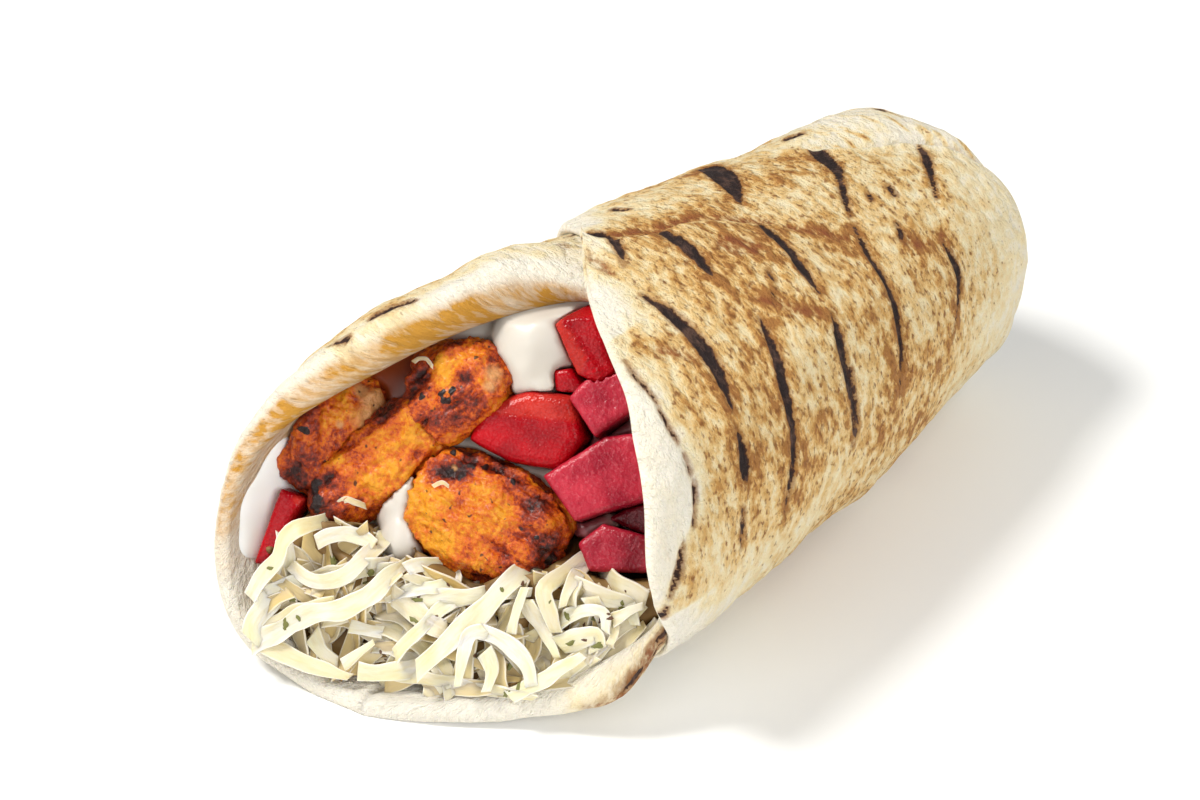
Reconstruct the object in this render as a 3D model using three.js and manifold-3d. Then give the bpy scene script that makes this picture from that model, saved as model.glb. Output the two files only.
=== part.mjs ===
// Shish taouk wrap: a grilled flatbread rolled round chicken, tomato, pickled turnip,
// shredded cabbage and garlic sauce.
//
// Millimetres, +Z up. The roll lies along Y: its open mouth is at -Y, its closed end at +Y,
// and it rests on a flat strip of bread on z = 0. A place on the bread is given by an angle
// round the roll, in degrees from the top and growing towards +X, and by y along the roll.
import * as THREE from 'three';
import { mergeVertices } from 'three/addons/utils/BufferGeometryUtils.js';
import Module from 'manifold-3d';

const wasm = await Module();
wasm.setup();

// ---- driving dimensions -------------------------------------------------------------

const GAP = 0.35; // clear space between neighbouring foods
const SHEET = 3.3; // thickness of the outer turn of bread
const TUCK = 2.5; // how far the inner turn lies below the outer one
const WALL = 5; // both turns of bread together
const LIP_LENGTH = 14; // how far back from the mouth that lip thins down to the wall
const LIP_ROUNDING = 1.6; // how far the middle of a bread edge stands before its corners
const SQUARENESS = 2.2; // 2 is an ellipse, more is boxier
const SAG = 1.5; // how far the round underside is pressed flat on the table
const FULL_HEIGHT = 74; // of the roll at its middle
const END_RISE = 12; // lifts the narrowing closed end, times the share of height it loses
const LUMP_HEIGHT = 0.55; // unevenness of hand-rolled bread
const GATHER_DEPTH = 2; // of the folds at the closed end
const EDGE_BORDER = 1.2; // width of the rounded rim of a bread edge
const EDGE_ROUNDING = 0.9; // how far the corners of a bread edge lie below its surface
const INNER_END = 85; // where the filling ends inside the closed end

// Cross-sections along the roll: y, half width, height, sideways drift of the middle.
const SECTIONS = [
  [-98, 39.5, 60.5, -3],
  [-75, 43, 69, -1.5],
  [-50, 45.8, 74.6, 0],
  [-25, 43.8, 74.4, -0.6],
  [0, 42, 73.5, -2],
  [25, 39.7, 69.3, -3.5],
  [45, 37, 67, -5.5],
  [60, 34.6, 64.3, -7],
  [72, 33, 62.3, -7.5],
  [81, 30.3, 60, -7],
  [88, 25.5, 53, -5.5],
  [92.5, 18, 39, -5],
  [95, 9, 20, -4.5],
];
const ROLL_END = 95;

// Thickness of bread at the mouth, where the lip curls over the filling at the upper left:
// angle, thickness.
const LIP = [
  [-180, 5],
  [-120, 4.6],
  [-90, 4.6],
  [-70, 5.6],
  [-50, 7.4],
  [-30, 9],
  [-10, 8.5],
  [10, 5],
  [180, 5],
];

// Edge of the inner turn of bread round the mouth: angle, y.
const MOUTH_EDGE = [
  [-180, -88],
  [-158, -92.2],
  [-140, -94.8],
  [-120, -94],
  [-100, -90],
  [-80, -84.5],
  [-60, -77],
  [-40, -64],
  [-25, -47],
  [-10, -29],
  [5, -27],
  [20, -35],
  [45, -45],
  [60, -49],
  [76, -52.5],
  [90, -52],
  [106, -50],
  [120, -55],
  [134, -62],
  [150, -70],
  [163, -79],
  [180, -88],
];

// Front edge of the outer turn: it runs from under the left side over the tip of the flap
// at the top, then down the right side of the mouth to where the two turns are pinched.
const FLAP_FRONT = [
  [-90, 13],
  [-75, 4],
  [-50, -3],
  [-27, -10],
  [-17, -15],
  [-7, -22.5],
  [4, -31],
  [20, -39],
  [34, -44],
  [44, -48],
  [60, -52],
  [76, -55.5],
  [88, -55],
  [98, -52.5],
  [110, -48.5],
  [125, -46],
  [150, -41],
];

// Back edge of the outer turn, where it lies across the top of the closed end.
const FLAP_BACK = [
  [-90, 17],
  [-75, 32],
  [-40, 40],
  [-20, 44.5],
  [-10, 48.5],
  [1, 59.5],
  [9, 72],
  [18, 79],
  [35, 85],
  [150, 86],
];

// Pleat that stands on the flap behind its tip: the line of its free edge.
const PLEAT_EDGE = [
  [-17.5, -15],
  [-10, -9.5],
  [-3, -4],
  [0, 3],
  [4, 10],
  [10, 18],
];
const PLEAT_HEIGHT = 2.2;
const PLEAT_WIDTH = 14;

// The open face of the filling: a plane that looks out of the mouth, forwards and up.
const FACE_CENTRE = new THREE.Vector3(-8, -61, 35);
const FACE_TURN = 29; // degrees round Z, away from -Y towards +X
const FACE_RISE = 35; // degrees above level

const ROOM_FRONT = -130; // well in front of everything that leans out of the mouth
const BED_TOP = 28; // height of the cabbage bed inside the roll
const BED_FALL = 5; // how much lower the bed is at the closed end
const CABBAGE_BACK = 1.2; // how far the packed cabbage lies behind the open face
const SAUCE_BACK = 8; // how far the sauce between the pieces lies behind the open face

const rad = THREE.MathUtils.degToRad;
const { clamp, lerp, smoothstep } = THREE.MathUtils;

// ---- small tools --------------------------------------------------------------------

// Smooth curve through the rows of a table, each [t, value, value, ...].
function follow(table, t, column = 1) {
  const last = table.length - 1;
  let i = 0;
  while (i < last - 1 && t > table[i + 1][0]) i += 1;
  const before = table[Math.max(i - 1, 0)];
  const here = table[i];
  const next = table[i + 1];
  const after = table[Math.min(i + 2, last)];
  const span = next[0] - here[0];
  const s = clamp((t - here[0]) / span, 0, 1);
  const leaving = ((next[column] - before[column]) / (next[0] - before[0])) * span;
  const arriving = ((after[column] - here[column]) / (after[0] - here[0])) * span;
  const s2 = s * s;
  const s3 = s2 * s;
  return (
    (2 * s3 - 3 * s2 + 1) * here[column] +
    (s3 - 2 * s2 + s) * leaving +
    (3 * s2 - 2 * s3) * next[column] +
    (s3 - s2) * arriving
  );
}

// Seeded random numbers between 0 and 1.
function randomFrom(seed) {
  let state = seed;
  return () => {
    state = (state * 1664525 + 1013904223) % 4294967296;
    return state / 4294967296;
  };
}

function signedPower(value, power) {
  return Math.sign(value) * Math.abs(value) ** power;
}

function meshFrom(points, faces) {
  const geometry = new THREE.BufferGeometry();
  const position = points.flatMap((point) => [point.x, point.y, point.z]);
  geometry.setAttribute('position', new THREE.Float32BufferAttribute(position, 3));
  geometry.setIndex(faces);
  return geometry;
}

// Closed skin over rings of equal length, each end closed by a fan on its middle point.
function loft(rings, startTip, endTip) {
  const count = rings[0].length;
  const points = [startTip, ...rings.flat(), endTip];
  const end = points.length - 1;
  const at = (ring, k) => 1 + ring * count + (k % count);
  const faces = [];
  for (let k = 0; k < count; k += 1) {
    faces.push(0, at(0, k + 1), at(0, k));
    faces.push(end, at(rings.length - 1, k), at(rings.length - 1, k + 1));
    for (let ring = 0; ring < rings.length - 1; ring += 1) {
      faces.push(at(ring, k), at(ring, k + 1), at(ring + 1, k + 1));
      faces.push(at(ring, k), at(ring + 1, k + 1), at(ring + 1, k));
    }
  }
  return meshFrom(points, faces);
}

function middleOf(ring) {
  const middle = new THREE.Vector3();
  ring.forEach((point) => middle.add(point));
  return middle.divideScalar(ring.length);
}

// Solid between two grids of points, an upper and a lower one with equal rows and columns.
function sheetSolid(upper, lower) {
  const rows = upper.length;
  const columns = upper[0].length;
  const points = [...upper.flat(), ...lower.flat()];
  const top = (i, j) => i * columns + j;
  const under = (i, j) => rows * columns + i * columns + j;
  const faces = [];
  const quad = (a, b, c, d) => faces.push(a, b, c, a, c, d);
  for (let i = 0; i < rows - 1; i += 1) {
    for (let j = 0; j < columns - 1; j += 1) {
      quad(top(i, j), top(i, j + 1), top(i + 1, j + 1), top(i + 1, j));
      quad(under(i, j), under(i + 1, j), under(i + 1, j + 1), under(i, j + 1));
    }
    quad(top(i, 0), top(i + 1, 0), under(i + 1, 0), under(i, 0));
    const j = columns - 1;
    quad(top(i, j), under(i, j), under(i + 1, j), top(i + 1, j));
  }
  for (let j = 0; j < columns - 1; j += 1) {
    quad(top(0, j), under(0, j), under(0, j + 1), top(0, j + 1));
    const i = rows - 1;
    quad(top(i, j), top(i, j + 1), under(i, j + 1), under(i, j));
  }
  return meshFrom(points, faces);
}

function solidFrom(geometry) {
  const bare = geometry.clone();
  bare.deleteAttribute('normal');
  bare.deleteAttribute('uv');
  const merged = mergeVertices(bare, 1e-4);
  const vertProperties = new Float32Array(merged.attributes.position.array);
  const triVerts = new Uint32Array(merged.index.array);
  return new wasm.Manifold(new wasm.Mesh({ numProp: 3, vertProperties, triVerts }));
}

function geometryFrom(solid) {
  const mesh = solid.getMesh();
  const geometry = new THREE.BufferGeometry();
  geometry.setAttribute('position', new THREE.Float32BufferAttribute(mesh.vertProperties, 3));
  geometry.setIndex(Array.from(mesh.triVerts));
  geometry.computeVertexNormals();
  return geometry;
}

// The largest of the separate bodies that a cut leaves, without its loose scraps.
function largestBody(solid) {
  const bodies = solid.decompose();
  return bodies.reduce((best, body) => (body.volume() > best.volume() ? body : best));
}

// ---- the roll of bread --------------------------------------------------------------

function lumps(angle, y) {
  const slow = Math.sin(rad(angle * 2 + 40) + y / 17) * Math.sin(y / 23 + 1);
  const quick = Math.sin(rad(angle * 5) - y / 9) * 0.5;
  return LUMP_HEIGHT * (slow + quick);
}

// Places where the bread stands out from the plain roll, or lies below it.
const SWELLS = [
  { angle: 127, y: -58, height: 4.4, angleReach: 15, yReach: 11 }, // corner under the flap
  { angle: -22, y: -25, height: 2.4, angleReach: 15, yReach: 11 }, // in front of the flap's tip
  { angle: -66, y: -62, height: 1.5, angleReach: 20, yReach: 12 }, // crest of the rolled lip
  { angle: 44, y: 87, height: 1.5, angleReach: 22, yReach: 9 }, // shoulder of the closed end
  { angle: 118, y: 80, height: -1.3, angleReach: 30, yReach: 14 }, // slimmer below that shoulder
];

function swell(angle, y) {
  return SWELLS.reduce((sum, spot) => {
    const across = (angle - spot.angle) / spot.angleReach;
    const along = (y - spot.y) / spot.yReach;
    return sum + spot.height * Math.exp(-across * across - along * along);
  }, 0);
}

// Folds that gather the bread at the closed end.
function gathers(angle, y) {
  const depth = GATHER_DEPTH * smoothstep(y, 74, ROLL_END);
  const fold = Math.abs(Math.sin(rad(angle * 1.5 + 20)));
  return -depth * (1 - fold) ** 2;
}

// Point on the roll, `proud` millimetres outside its plain outer surface.
function rollPoint(angle, y, proud) {
  const halfWidth = follow(SECTIONS, y, 1);
  const height = follow(SECTIONS, y, 2);
  const drift = follow(SECTIONS, y, 3);
  const taper = y > 0 ? (1 - height / FULL_HEIGHT) * END_RISE : 0;
  const middle = height / 2 - SAG + taper;
  const out = proud + lumps(angle, y) + swell(angle, y) + gathers(angle, y);
  const x = drift + (halfWidth + out) * signedPower(Math.sin(rad(angle)), 2 / SQUARENESS);
  const z = middle + (height / 2 + out) * signedPower(Math.cos(rad(angle)), 2 / SQUARENESS);
  return new THREE.Vector3(x, y, Math.max(z, 0));
}

const mouthEdge = (angle) => follow(MOUTH_EDGE, angle);
const flapFront = (angle) => follow(FLAP_FRONT, angle);
const flapBack = (angle) => follow(FLAP_BACK, angle);

const FLAP_LEFT = FLAP_FRONT[0][0];
const FLAP_FOOT = FLAP_FRONT[FLAP_FRONT.length - 1][0];
const MM_PER_DEGREE = 0.7; // on the side of the roll

// How deep the inner turn lies below the plain surface: full depth under the outer turn,
// none where it forms the outside itself.
function innerTurnDepth(angle, y) {
  const side = clamp(angle, FLAP_LEFT, FLAP_FOOT);
  const beforeFlap = flapFront(side) - y;
  const behindFlap = y - flapBack(side);
  const leftOfFlap = (FLAP_LEFT - angle) * MM_PER_DEGREE;
  const outside = Math.hypot(Math.max(beforeFlap, behindFlap, 0), Math.max(leftOfFlap, 0));
  const nearFlap = 1 - smoothstep(outside, 0, 24);
  const nearFoot = 1 - smoothstep(angle, FLAP_FOOT - COLUMN_STEP, FLAP_FOOT);
  const nearEnd = 1 - smoothstep(y, 76, 83);
  return TUCK * nearFlap * nearFoot * nearEnd;
}

// Full thickness of bread: the left lip is rolled over, the rest is a plain wall, and
// where the bread swells outwards its inside stays where it is.
function wallDepth(angle, y) {
  const nearMouth = 1 - smoothstep(y - mouthEdge(angle), 2, LIP_LENGTH);
  return lerp(WALL, follow(LIP, angle), nearMouth) + Math.max(swell(angle, y), 0);
}

const ROLL_COLUMNS = 60;
const COLUMN_STEP = 360 / ROLL_COLUMNS;
const ringAngles = Array.from({ length: ROLL_COLUMNS }, (_, k) => -180 + k * COLUMN_STEP);

function ring(pointAt) {
  return ringAngles.map(pointAt);
}

// Rings along the inside of the bread, from the mouth to the closed end. With some
// clearance they are the skin of the filling instead.
function insideRings(clearance) {
  const steps = 7;
  return Array.from({ length: steps }, (_, row) => {
    const along = (row / (steps - 1)) ** 1.3;
    return ring((angle) => {
      const y = lerp(mouthEdge(angle) + LIP_ROUNDING, INNER_END - clearance, along);
      return rollPoint(angle, y, -wallDepth(angle, y) - clearance);
    });
  });
}

function innerTurn() {
  const inside = insideRings(0).reverse();
  const lip = [0.75, 0.5, 0.25].map((across) =>
    ring((angle) => {
      const y = mouthEdge(angle) + LIP_ROUNDING * (2 * across - 1) ** 2;
      return rollPoint(angle, y, -lerp(innerTurnDepth(angle, y), wallDepth(angle, y), across));
    }),
  );
  const steps = 18;
  const outside = Array.from({ length: steps }, (_, row) => {
    const along = 1 - (1 - row / (steps - 1)) ** 1.5;
    return ring((angle) => {
      const y = lerp(mouthEdge(angle) + LIP_ROUNDING, ROLL_END, along);
      return rollPoint(angle, y, -innerTurnDepth(angle, y));
    });
  });
  const deepTip = middleOf(inside[0]);
  const endTip = middleOf(outside[steps - 1]);
  endTip.y += 0.6;
  return loft([...inside, ...lip, ...outside], deepTip, endTip);
}

function outerTurn() {
  const columns = 1 + (FLAP_FOOT - FLAP_LEFT) / COLUMN_STEP;
  const rows = 17;
  const upper = [];
  const lower = [];
  for (let i = 0; i < rows; i += 1) {
    const atEdge = i === 0 || i === rows - 1;
    const along = clamp((i - 1) / (rows - 3), 0, 1);
    const edgeDrop = atEdge ? EDGE_ROUNDING : 0;
    const outerLine = [];
    const innerLine = [];
    for (let j = 0; j < columns; j += 1) {
      const angle = FLAP_LEFT + j * COLUMN_STEP;
      const front = flapFront(angle);
      const back = flapBack(angle);
      const border = Math.min(EDGE_BORDER, (back - front) / 4);
      const inset = lerp(front + border, back - border, along);
      const y = atEdge ? lerp(front, back, i / (rows - 1)) : inset;
      const footDip = TUCK * smoothstep(angle, FLAP_FOOT - COLUMN_STEP, FLAP_FOOT);
      const endDip = 3 * smoothstep(y, 81.5, 86);
      outerLine.push(rollPoint(angle, y, -edgeDrop - footDip - endDip));
      innerLine.push(rollPoint(angle, y, edgeDrop * 0.6 - SHEET - endDip * 0.2));
    }
    upper.push(outerLine);
    lower.push(innerLine);
  }
  return sheetSolid(upper, lower);
}

// The pleat is a thin wedge of bread, highest at its free edge and at the tip of the flap.
function pleat() {
  const along = 9;
  const across = 6;
  const upper = [];
  const lower = [];
  for (let i = 0; i < along; i += 1) {
    const s = i / (along - 1);
    const place = s * (PLEAT_EDGE.length - 1);
    const k = Math.min(Math.floor(place), PLEAT_EDGE.length - 2);
    const edgeAngle = lerp(PLEAT_EDGE[k][0], PLEAT_EDGE[k + 1][0], place - k);
    const edgeY = lerp(PLEAT_EDGE[k][1], PLEAT_EDGE[k + 1][1], place - k);
    const outerLine = [];
    const innerLine = [];
    for (let j = 0; j < across; j += 1) {
      const w = j / (across - 1);
      const angle = edgeAngle + (w * PLEAT_WIDTH) / MM_PER_DEGREE;
      const besideEdge = edgeY - (w * PLEAT_WIDTH) / 2;
      const y = lerp(flapFront(angle) + 0.6, besideEdge, smoothstep(s, 0, 0.6));
      const height = PLEAT_HEIGHT * (1 - 0.9 * s) * (1 - w * w);
      outerLine.push(rollPoint(angle, y, height - EDGE_ROUNDING * w));
      innerLine.push(rollPoint(angle, y, -SHEET / 2));
    }
    upper.push(outerLine);
    lower.push(innerLine);
  }
  return sheetSolid(upper, lower);
}

function flatbread() {
  const inner = solidFrom(innerTurn());
  const outer = solidFrom(outerTurn());
  return inner.add(outer).add(solidFrom(pleat()));
}

// ---- the filling --------------------------------------------------------------------

// Axes of the open face: x along it to the right, y up its slope, z out of the mouth.
const faceTurn = new THREE.Matrix4().makeRotationFromEuler(
  new THREE.Euler(rad(90 - FACE_RISE), 0, rad(FACE_TURN), 'ZXY'),
);
const faceMatrix = faceTurn.clone().setPosition(FACE_CENTRE);

// Room inside the bread, carried on forwards out of the mouth. Its rings run towards the
// mouth like those of the bread, so its triangles match, and the skin is then turned out.
function hollow() {
  const rings = insideRings(GAP).reverse();
  const front = ring((angle) => {
    const y = mouthEdge(angle) + LIP_ROUNDING;
    return rollPoint(angle, y, -wallDepth(angle, y) - GAP).setY(ROOM_FRONT);
  });
  const skin = loft([...rings, front], middleOf(rings[0]), middleOf(front));
  return skin.setIndex(Array.from(skin.index.array).reverse());
}

// A lump of food: a rough ball stretched to its half sizes, with crags on its skin.
function chunk(halfSizes, crag, seed) {
  const geometry = new THREE.IcosahedronGeometry(1, 3);
  const position = geometry.attributes.position;
  const point = new THREE.Vector3();
  for (let k = 0; k < position.count; k += 1) {
    point.fromBufferAttribute(position, k).normalize();
    const wide = Math.sin(point.x * 3.1 + seed) * Math.sin(point.y * 3.7 + seed * 2);
    const fine = Math.sin(point.z * 6.3 + seed * 3) * Math.sin(point.x * 5.7 - seed);
    const box = Math.max(Math.abs(point.x), Math.abs(point.y), Math.abs(point.z));
    const squared = 0.93 / lerp(1, box, 0.35);
    point.multiplyScalar(squared + crag * (wide + 0.6 * fine));
    position.setXYZ(k, point.x, point.y, point.z);
  }
  return geometry.scale(...halfSizes);
}

// A cut piece: its outline as seen on the open face, cut straight down, with soft edges.
function cutPiece(outline, depth, rounding) {
  const shape = new THREE.Shape(outline.map(([x, y]) => new THREE.Vector2(x, y)));
  const geometry = new THREE.ExtrudeGeometry(shape, {
    depth: depth - 2 * rounding,
    bevelThickness: rounding,
    bevelSize: rounding,
    bevelOffset: -rounding,
    bevelSegments: 2,
  });
  return geometry.translate(0, 0, -depth / 2);
}

// A piece of filling in the axes of the open face, and the same piece a little larger,
// which is what its neighbours are cut back by.
function placed(geometry, place, turn, tilt = [0, 0]) {
  geometry.computeBoundingBox();
  const size = geometry.boundingBox.getSize(new THREE.Vector3());
  const grow = (axis) => (size[axis] + 2 * GAP) / size[axis];
  const middle = geometry.boundingBox.getCenter(new THREE.Vector3());
  const larger = geometry
    .clone()
    .translate(-middle.x, -middle.y, -middle.z)
    .scale(grow('x'), grow('y'), grow('z'))
    .translate(middle.x, middle.y, middle.z);
  const local = new THREE.Matrix4()
    .makeRotationFromEuler(new THREE.Euler(rad(tilt[0]), rad(tilt[1]), rad(turn)))
    .setPosition(...place);
  const matrix = faceMatrix.clone().multiply(local);
  return {
    solid: solidFrom(geometry.applyMatrix4(matrix)),
    larger: solidFrom(larger.applyMatrix4(matrix)),
  };
}

const FOODS = {
  bread: { color: '#e3c594', roughness: 0.85 },
  chicken: { color: '#d67b1c', roughness: 0.55 },
  tomato: { color: '#c01a1c', roughness: 0.25 },
  turnip: { color: '#bb2b55', roughness: 0.35 },
  cabbage: { color: '#ece5c8', roughness: 0.5 },
  sauce: { color: '#f6f3ea', roughness: 0.35 },
};

// Pieces that lie in the open face, each cut back by the ones named before it.
const PIECES = {
  chicken_3: {
    food: 'chicken',
    bodies: [placed(chunk([18, 12.5, 10], 0.055, 1.3), [8.2, -2.4, -7], -16)],
  },
  chicken_2: {
    food: 'chicken',
    bodies: [
      placed(chunk([11.5, 9.5, 9], 0.06, 2.4), [-0.4, 22.6, -7.5], 22),
      placed(chunk([16.5, 8.6, 9], 0.06, 4.1), [-15.2, 4.2, -8], 47),
    ],
  },
  chicken_1: {
    food: 'chicken',
    bodies: [placed(chunk([14.5, 9, 9], 0.06, 5.2), [-27.2, 9.6, -8], 62)],
  },
  tomato_1: {
    food: 'tomato',
    bodies: [
      placed(
        cutPiece([[-10.5, -3], [-9, 4], [0, 8.5], [9, 9], [12.5, 1], [9, -6], [-2, -6]], 13, 2),
        [13.6, 15.2, -6],
        0,
      ),
    ],
  },
  tomato_2: {
    food: 'tomato',
    bodies: [
      placed(cutPiece([[-7, 2.5], [-2, 7.5], [1, 7.5], [7, -4.5], [4, -8], [-1, -6.5]], 12, 1.2),
        [23.5, 34.5, -6], 0),
    ],
  },
  tomato_3: {
    food: 'tomato',
    bodies: [
      placed(cutPiece([[-3.5, 2.5], [0, 3.5], [3.6, 0], [2, -3.5], [-2, -3]], 8, 0.9),
        [21, 25.8, -6], 0),
    ],
  },
  tomato_4: {
    food: 'tomato',
    bodies: [
      placed(cutPiece([[-0.5, 8], [5, 6.5], [0, -7.5], [-3.5, -8]], 7, 1), [-32.4, -11, -3.6], 0),
    ],
  },
  turnip_2: {
    food: 'turnip',
    bodies: [
      placed(cutPiece([[-12, -2.5], [-1.5, 7], [9, 10], [13, -1.5], [-4.5, -10]], 14, 1.2),
        [31.2, 10, -6.6], 0, [-4, 5]),
    ],
  },
  turnip_1: {
    food: 'turnip',
    bodies: [
      placed(cutPiece([[-7.4, -1.2], [-3.6, 5], [1.2, 6.6], [6.8, 0], [-1.2, -7.6]], 12, 1),
        [29.3, 24.2, -5.6], 0, [-6, 4]),
    ],
  },
  turnip_3: {
    food: 'turnip',
    bodies: [
      placed(cutPiece([[-7.8, 0], [-3.5, 4.6], [8, 3.4], [9, -2.8], [-4.6, -4.8]], 12, 1),
        [35.8, -4.2, -6.2], 0, [-5, 3]),
    ],
  },
  turnip_4: {
    food: 'turnip',
    bodies: [
      placed(cutPiece([[-6, -1.5], [0.5, 3.6], [5.5, 3], [6, -5]], 9, 0.9), [38, 3, -11], 0),
    ],
  },
};

// Everything in front of the open face, `back` millimetres behind its plane.
function beforeFace(back) {
  const block = new THREE.BoxGeometry(260, 260, 120).translate(0, 0, 60 - back);
  return solidFrom(block.applyMatrix4(faceMatrix));
}

// Block whose top is the cabbage bed, or whose underside is that of the sauce above it.
function layerBlock(above, clearance) {
  const height = 120;
  const sign = above ? 1 : -1;
  const block = new THREE.BoxGeometry(200, 300, height);
  block.translate(0, 0, sign * (height / 2 + clearance));
  block.rotateX(-Math.atan2(BED_FALL, INNER_END - FACE_CENTRE.y));
  return solidFrom(block.translate(0, FACE_CENTRE.y, BED_TOP));
}

// Spoonfuls of garlic sauce that show between the pieces: place, half sizes.
const SAUCE_SPOONFULS = [
  [[-37, -6, -7], [8, 14, 8]],
  [[-7, 0, -7], [8, 13, 6]],
  [[-7, -8.5, -4.6], [4.6, 6, 4.4]],
  [[13, 33, -8], [10, 13, 7.5]],
  [[16, 24, -6.5], [6.5, 8, 5]],
];

// The garlic sauce that binds the filling above the cabbage, along the whole roll.
function sauceMass(clearance) {
  let mass = layerBlock(true, -clearance).subtract(beforeFace(SAUCE_BACK - clearance));
  SAUCE_SPOONFULS.forEach(([place, halfSizes]) => {
    const ball = new THREE.IcosahedronGeometry(1, 1);
    ball.scale(...halfSizes.map((half) => half + clearance)).translate(...place);
    mass = mass.add(solidFrom(ball.applyMatrix4(faceMatrix)));
  });
  return mass;
}

// A shred of cabbage: a strip that follows points on the open face, with its flat side out.
function shred(points, width, thickness, steps) {
  const curve = new THREE.CatmullRomCurve3(points.map((point) => new THREE.Vector3(...point)));
  const rings = Array.from({ length: steps + 1 }, (_, k) => {
    const t = k / steps;
    const middle = curve.getPoint(t);
    const along = curve.getTangent(t);
    const twist = rad(18) * Math.sin(t * 5 + points[0][0]);
    const out = new THREE.Vector3(0, 0, 1).applyAxisAngle(along, twist);
    const side = along.clone().cross(out).normalize();
    const narrow = 1 - 0.45 * Math.abs(2 * t - 1) ** 4;
    const corner = (across, through) =>
      middle
        .clone()
        .addScaledVector(side, (across * width * narrow) / 2)
        .addScaledVector(out, (through * thickness) / 2);
    return [corner(-1, 1), corner(1, 1), corner(1, -1), corner(-1, -1)];
  });
  const geometry = loft(rings, middleOf(rings[0]), middleOf(rings[steps]));
  return solidFrom(geometry.applyMatrix4(faceMatrix));
}

const SHRED_THICKNESS = 1.8;

// The long shreds that catch the eye: points on the open face.
const LONG_SHREDS = [
  [[-35, -28, 0.5], [-33, -17, 1.5], [-24, -9, 2], [-12, -6.5, 1.6]],
  [[-12, -6.5, 1.6], [-10, -13, 2], [-17, -21, 2.2], [-27, -20, 1.8], [-31, -15, 1]],
  [[-37, -33, 0.5], [-27, -26, 1.6], [-15, -21, 2.6], [-7, -13, 2]],
  [[-20, -26, 1.5], [-9, -20, 2.4], [1, -14, 2], [4, -17, 1.4]],
  [[-6, -32, 1.6], [4, -24, 2.8], [13, -15, 3], [18, -9, 3]],
  [[10, -30, 1.2], [17, -22, 2.2], [24, -16, 2], [32, -13, 1.4]],
  [[20, -10, 1.4], [27, -13, 2.2], [36, -12, 1.2]],
];

// Upper edge of the cabbage on the open face: x, y.
const BED_EDGE = [
  [-42, -26],
  [-35, -20],
  [-27, -9],
  [-8, -5],
  [5, -12],
  [18, -8.5],
  [44, -9.5],
];

// The long shreds, and shorter ones strewn over the bed at all slants between them.
function cabbageShreds() {
  const random = randomFrom(7);
  const between = (low, high) => lerp(low, high, random());
  const strips = LONG_SHREDS.map((points) => shred(points, 4.4, SHRED_THICKNESS, 6));
  const columns = 5;
  const layers = 3;
  for (let i = 0; i < columns; i += 1) {
    for (let j = 0; j < layers; j += 1) {
      const x = lerp(-30, 36, i / (columns - 1)) + between(-3, 3);
      const y = lerp(-35, -14, j / (layers - 1)) + between(-2, 2);
      const z = between(-0.9, 1.1);
      const heading = rad(between(-35, 65));
      const reach = between(8, 13);
      const bow = between(-3.5, 3.5);
      const ends = [Math.cos(heading) * reach, Math.sin(heading) * reach];
      const points = [
        [x - ends[0], y - ends[1], z - 0.8],
        [x - (bow * ends[1]) / reach, y + (bow * ends[0]) / reach, z + 0.7],
        [x + ends[0], y + ends[1], z - 0.8],
      ];
      const onBed = points.map(([px, py, pz]) => [px, Math.min(py, follow(BED_EDGE, px) - 2), pz]);
      strips.push(shred(onBed, between(3, 4.4), SHRED_THICKNESS, 4));
    }
  }
  return strips;
}

// ---- assembly -----------------------------------------------------------------------

const room = solidFrom(hollow());
const solids = {};
const neighbours = [];
Object.entries(PIECES).forEach(([name, { food, bodies }]) => {
  let piece = bodies.map(({ solid }) => solid).reduce((all, body) => all.add(body));
  piece = piece.intersect(room);
  neighbours.forEach((larger) => {
    piece = piece.subtract(larger);
  });
  bodies.forEach(({ larger }) => neighbours.push(larger));
  solids[name] = { food, solid: largestBody(piece) };
});

let sauce = sauceMass(0).intersect(room);
let cabbage = layerBlock(false, 0).intersect(room).subtract(beforeFace(CABBAGE_BACK));
cabbageShreds().forEach((strip) => {
  cabbage = cabbage.add(strip);
});
cabbage = cabbage.intersect(room).subtract(sauceMass(GAP));
neighbours.forEach((larger) => {
  sauce = sauce.subtract(larger);
  cabbage = cabbage.subtract(larger);
});
solids.garlic_sauce = { food: 'sauce', solid: largestBody(sauce) };
solids.cabbage = { food: 'cabbage', solid: largestBody(cabbage) };
solids.flatbread = { food: 'bread', solid: largestBody(flatbread()) };

const wrap = new THREE.Group();
Object.entries(solids).forEach(([name, { food, solid }]) => {
  const material = new THREE.MeshStandardMaterial({ ...FOODS[food], metalness: 0 });
  const mesh = new THREE.Mesh(geometryFrom(solid), material);
  mesh.name = name;
  wrap.add(mesh);
});

// The origin is on the table, under the middle of the roll.
const box = new THREE.Box3().setFromObject(wrap);
const centre = box.getCenter(new THREE.Vector3());
wrap.position.set(-centre.x, -centre.y, -box.min.z);

export default wrap;
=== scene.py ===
# %% [markdown]
# # A grilled chicken wrap
# The wrap is a soft flatbread rolled round grilled chicken, tomato, pickled turnip, shredded
# cabbage and garlic sauce. The solid model gives every piece its place and size. Here each
# piece gets its real surface: puffed and toasted bread with charred grill marks, craggy
# chicken, wet vegetables and loose ribbons of cabbage.

# %% Load the frame
import math

import bmesh
import bpy
import numpy as np
from mathutils import Matrix, Vector, noise
from mathutils.bvhtree import BVHTree


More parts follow.
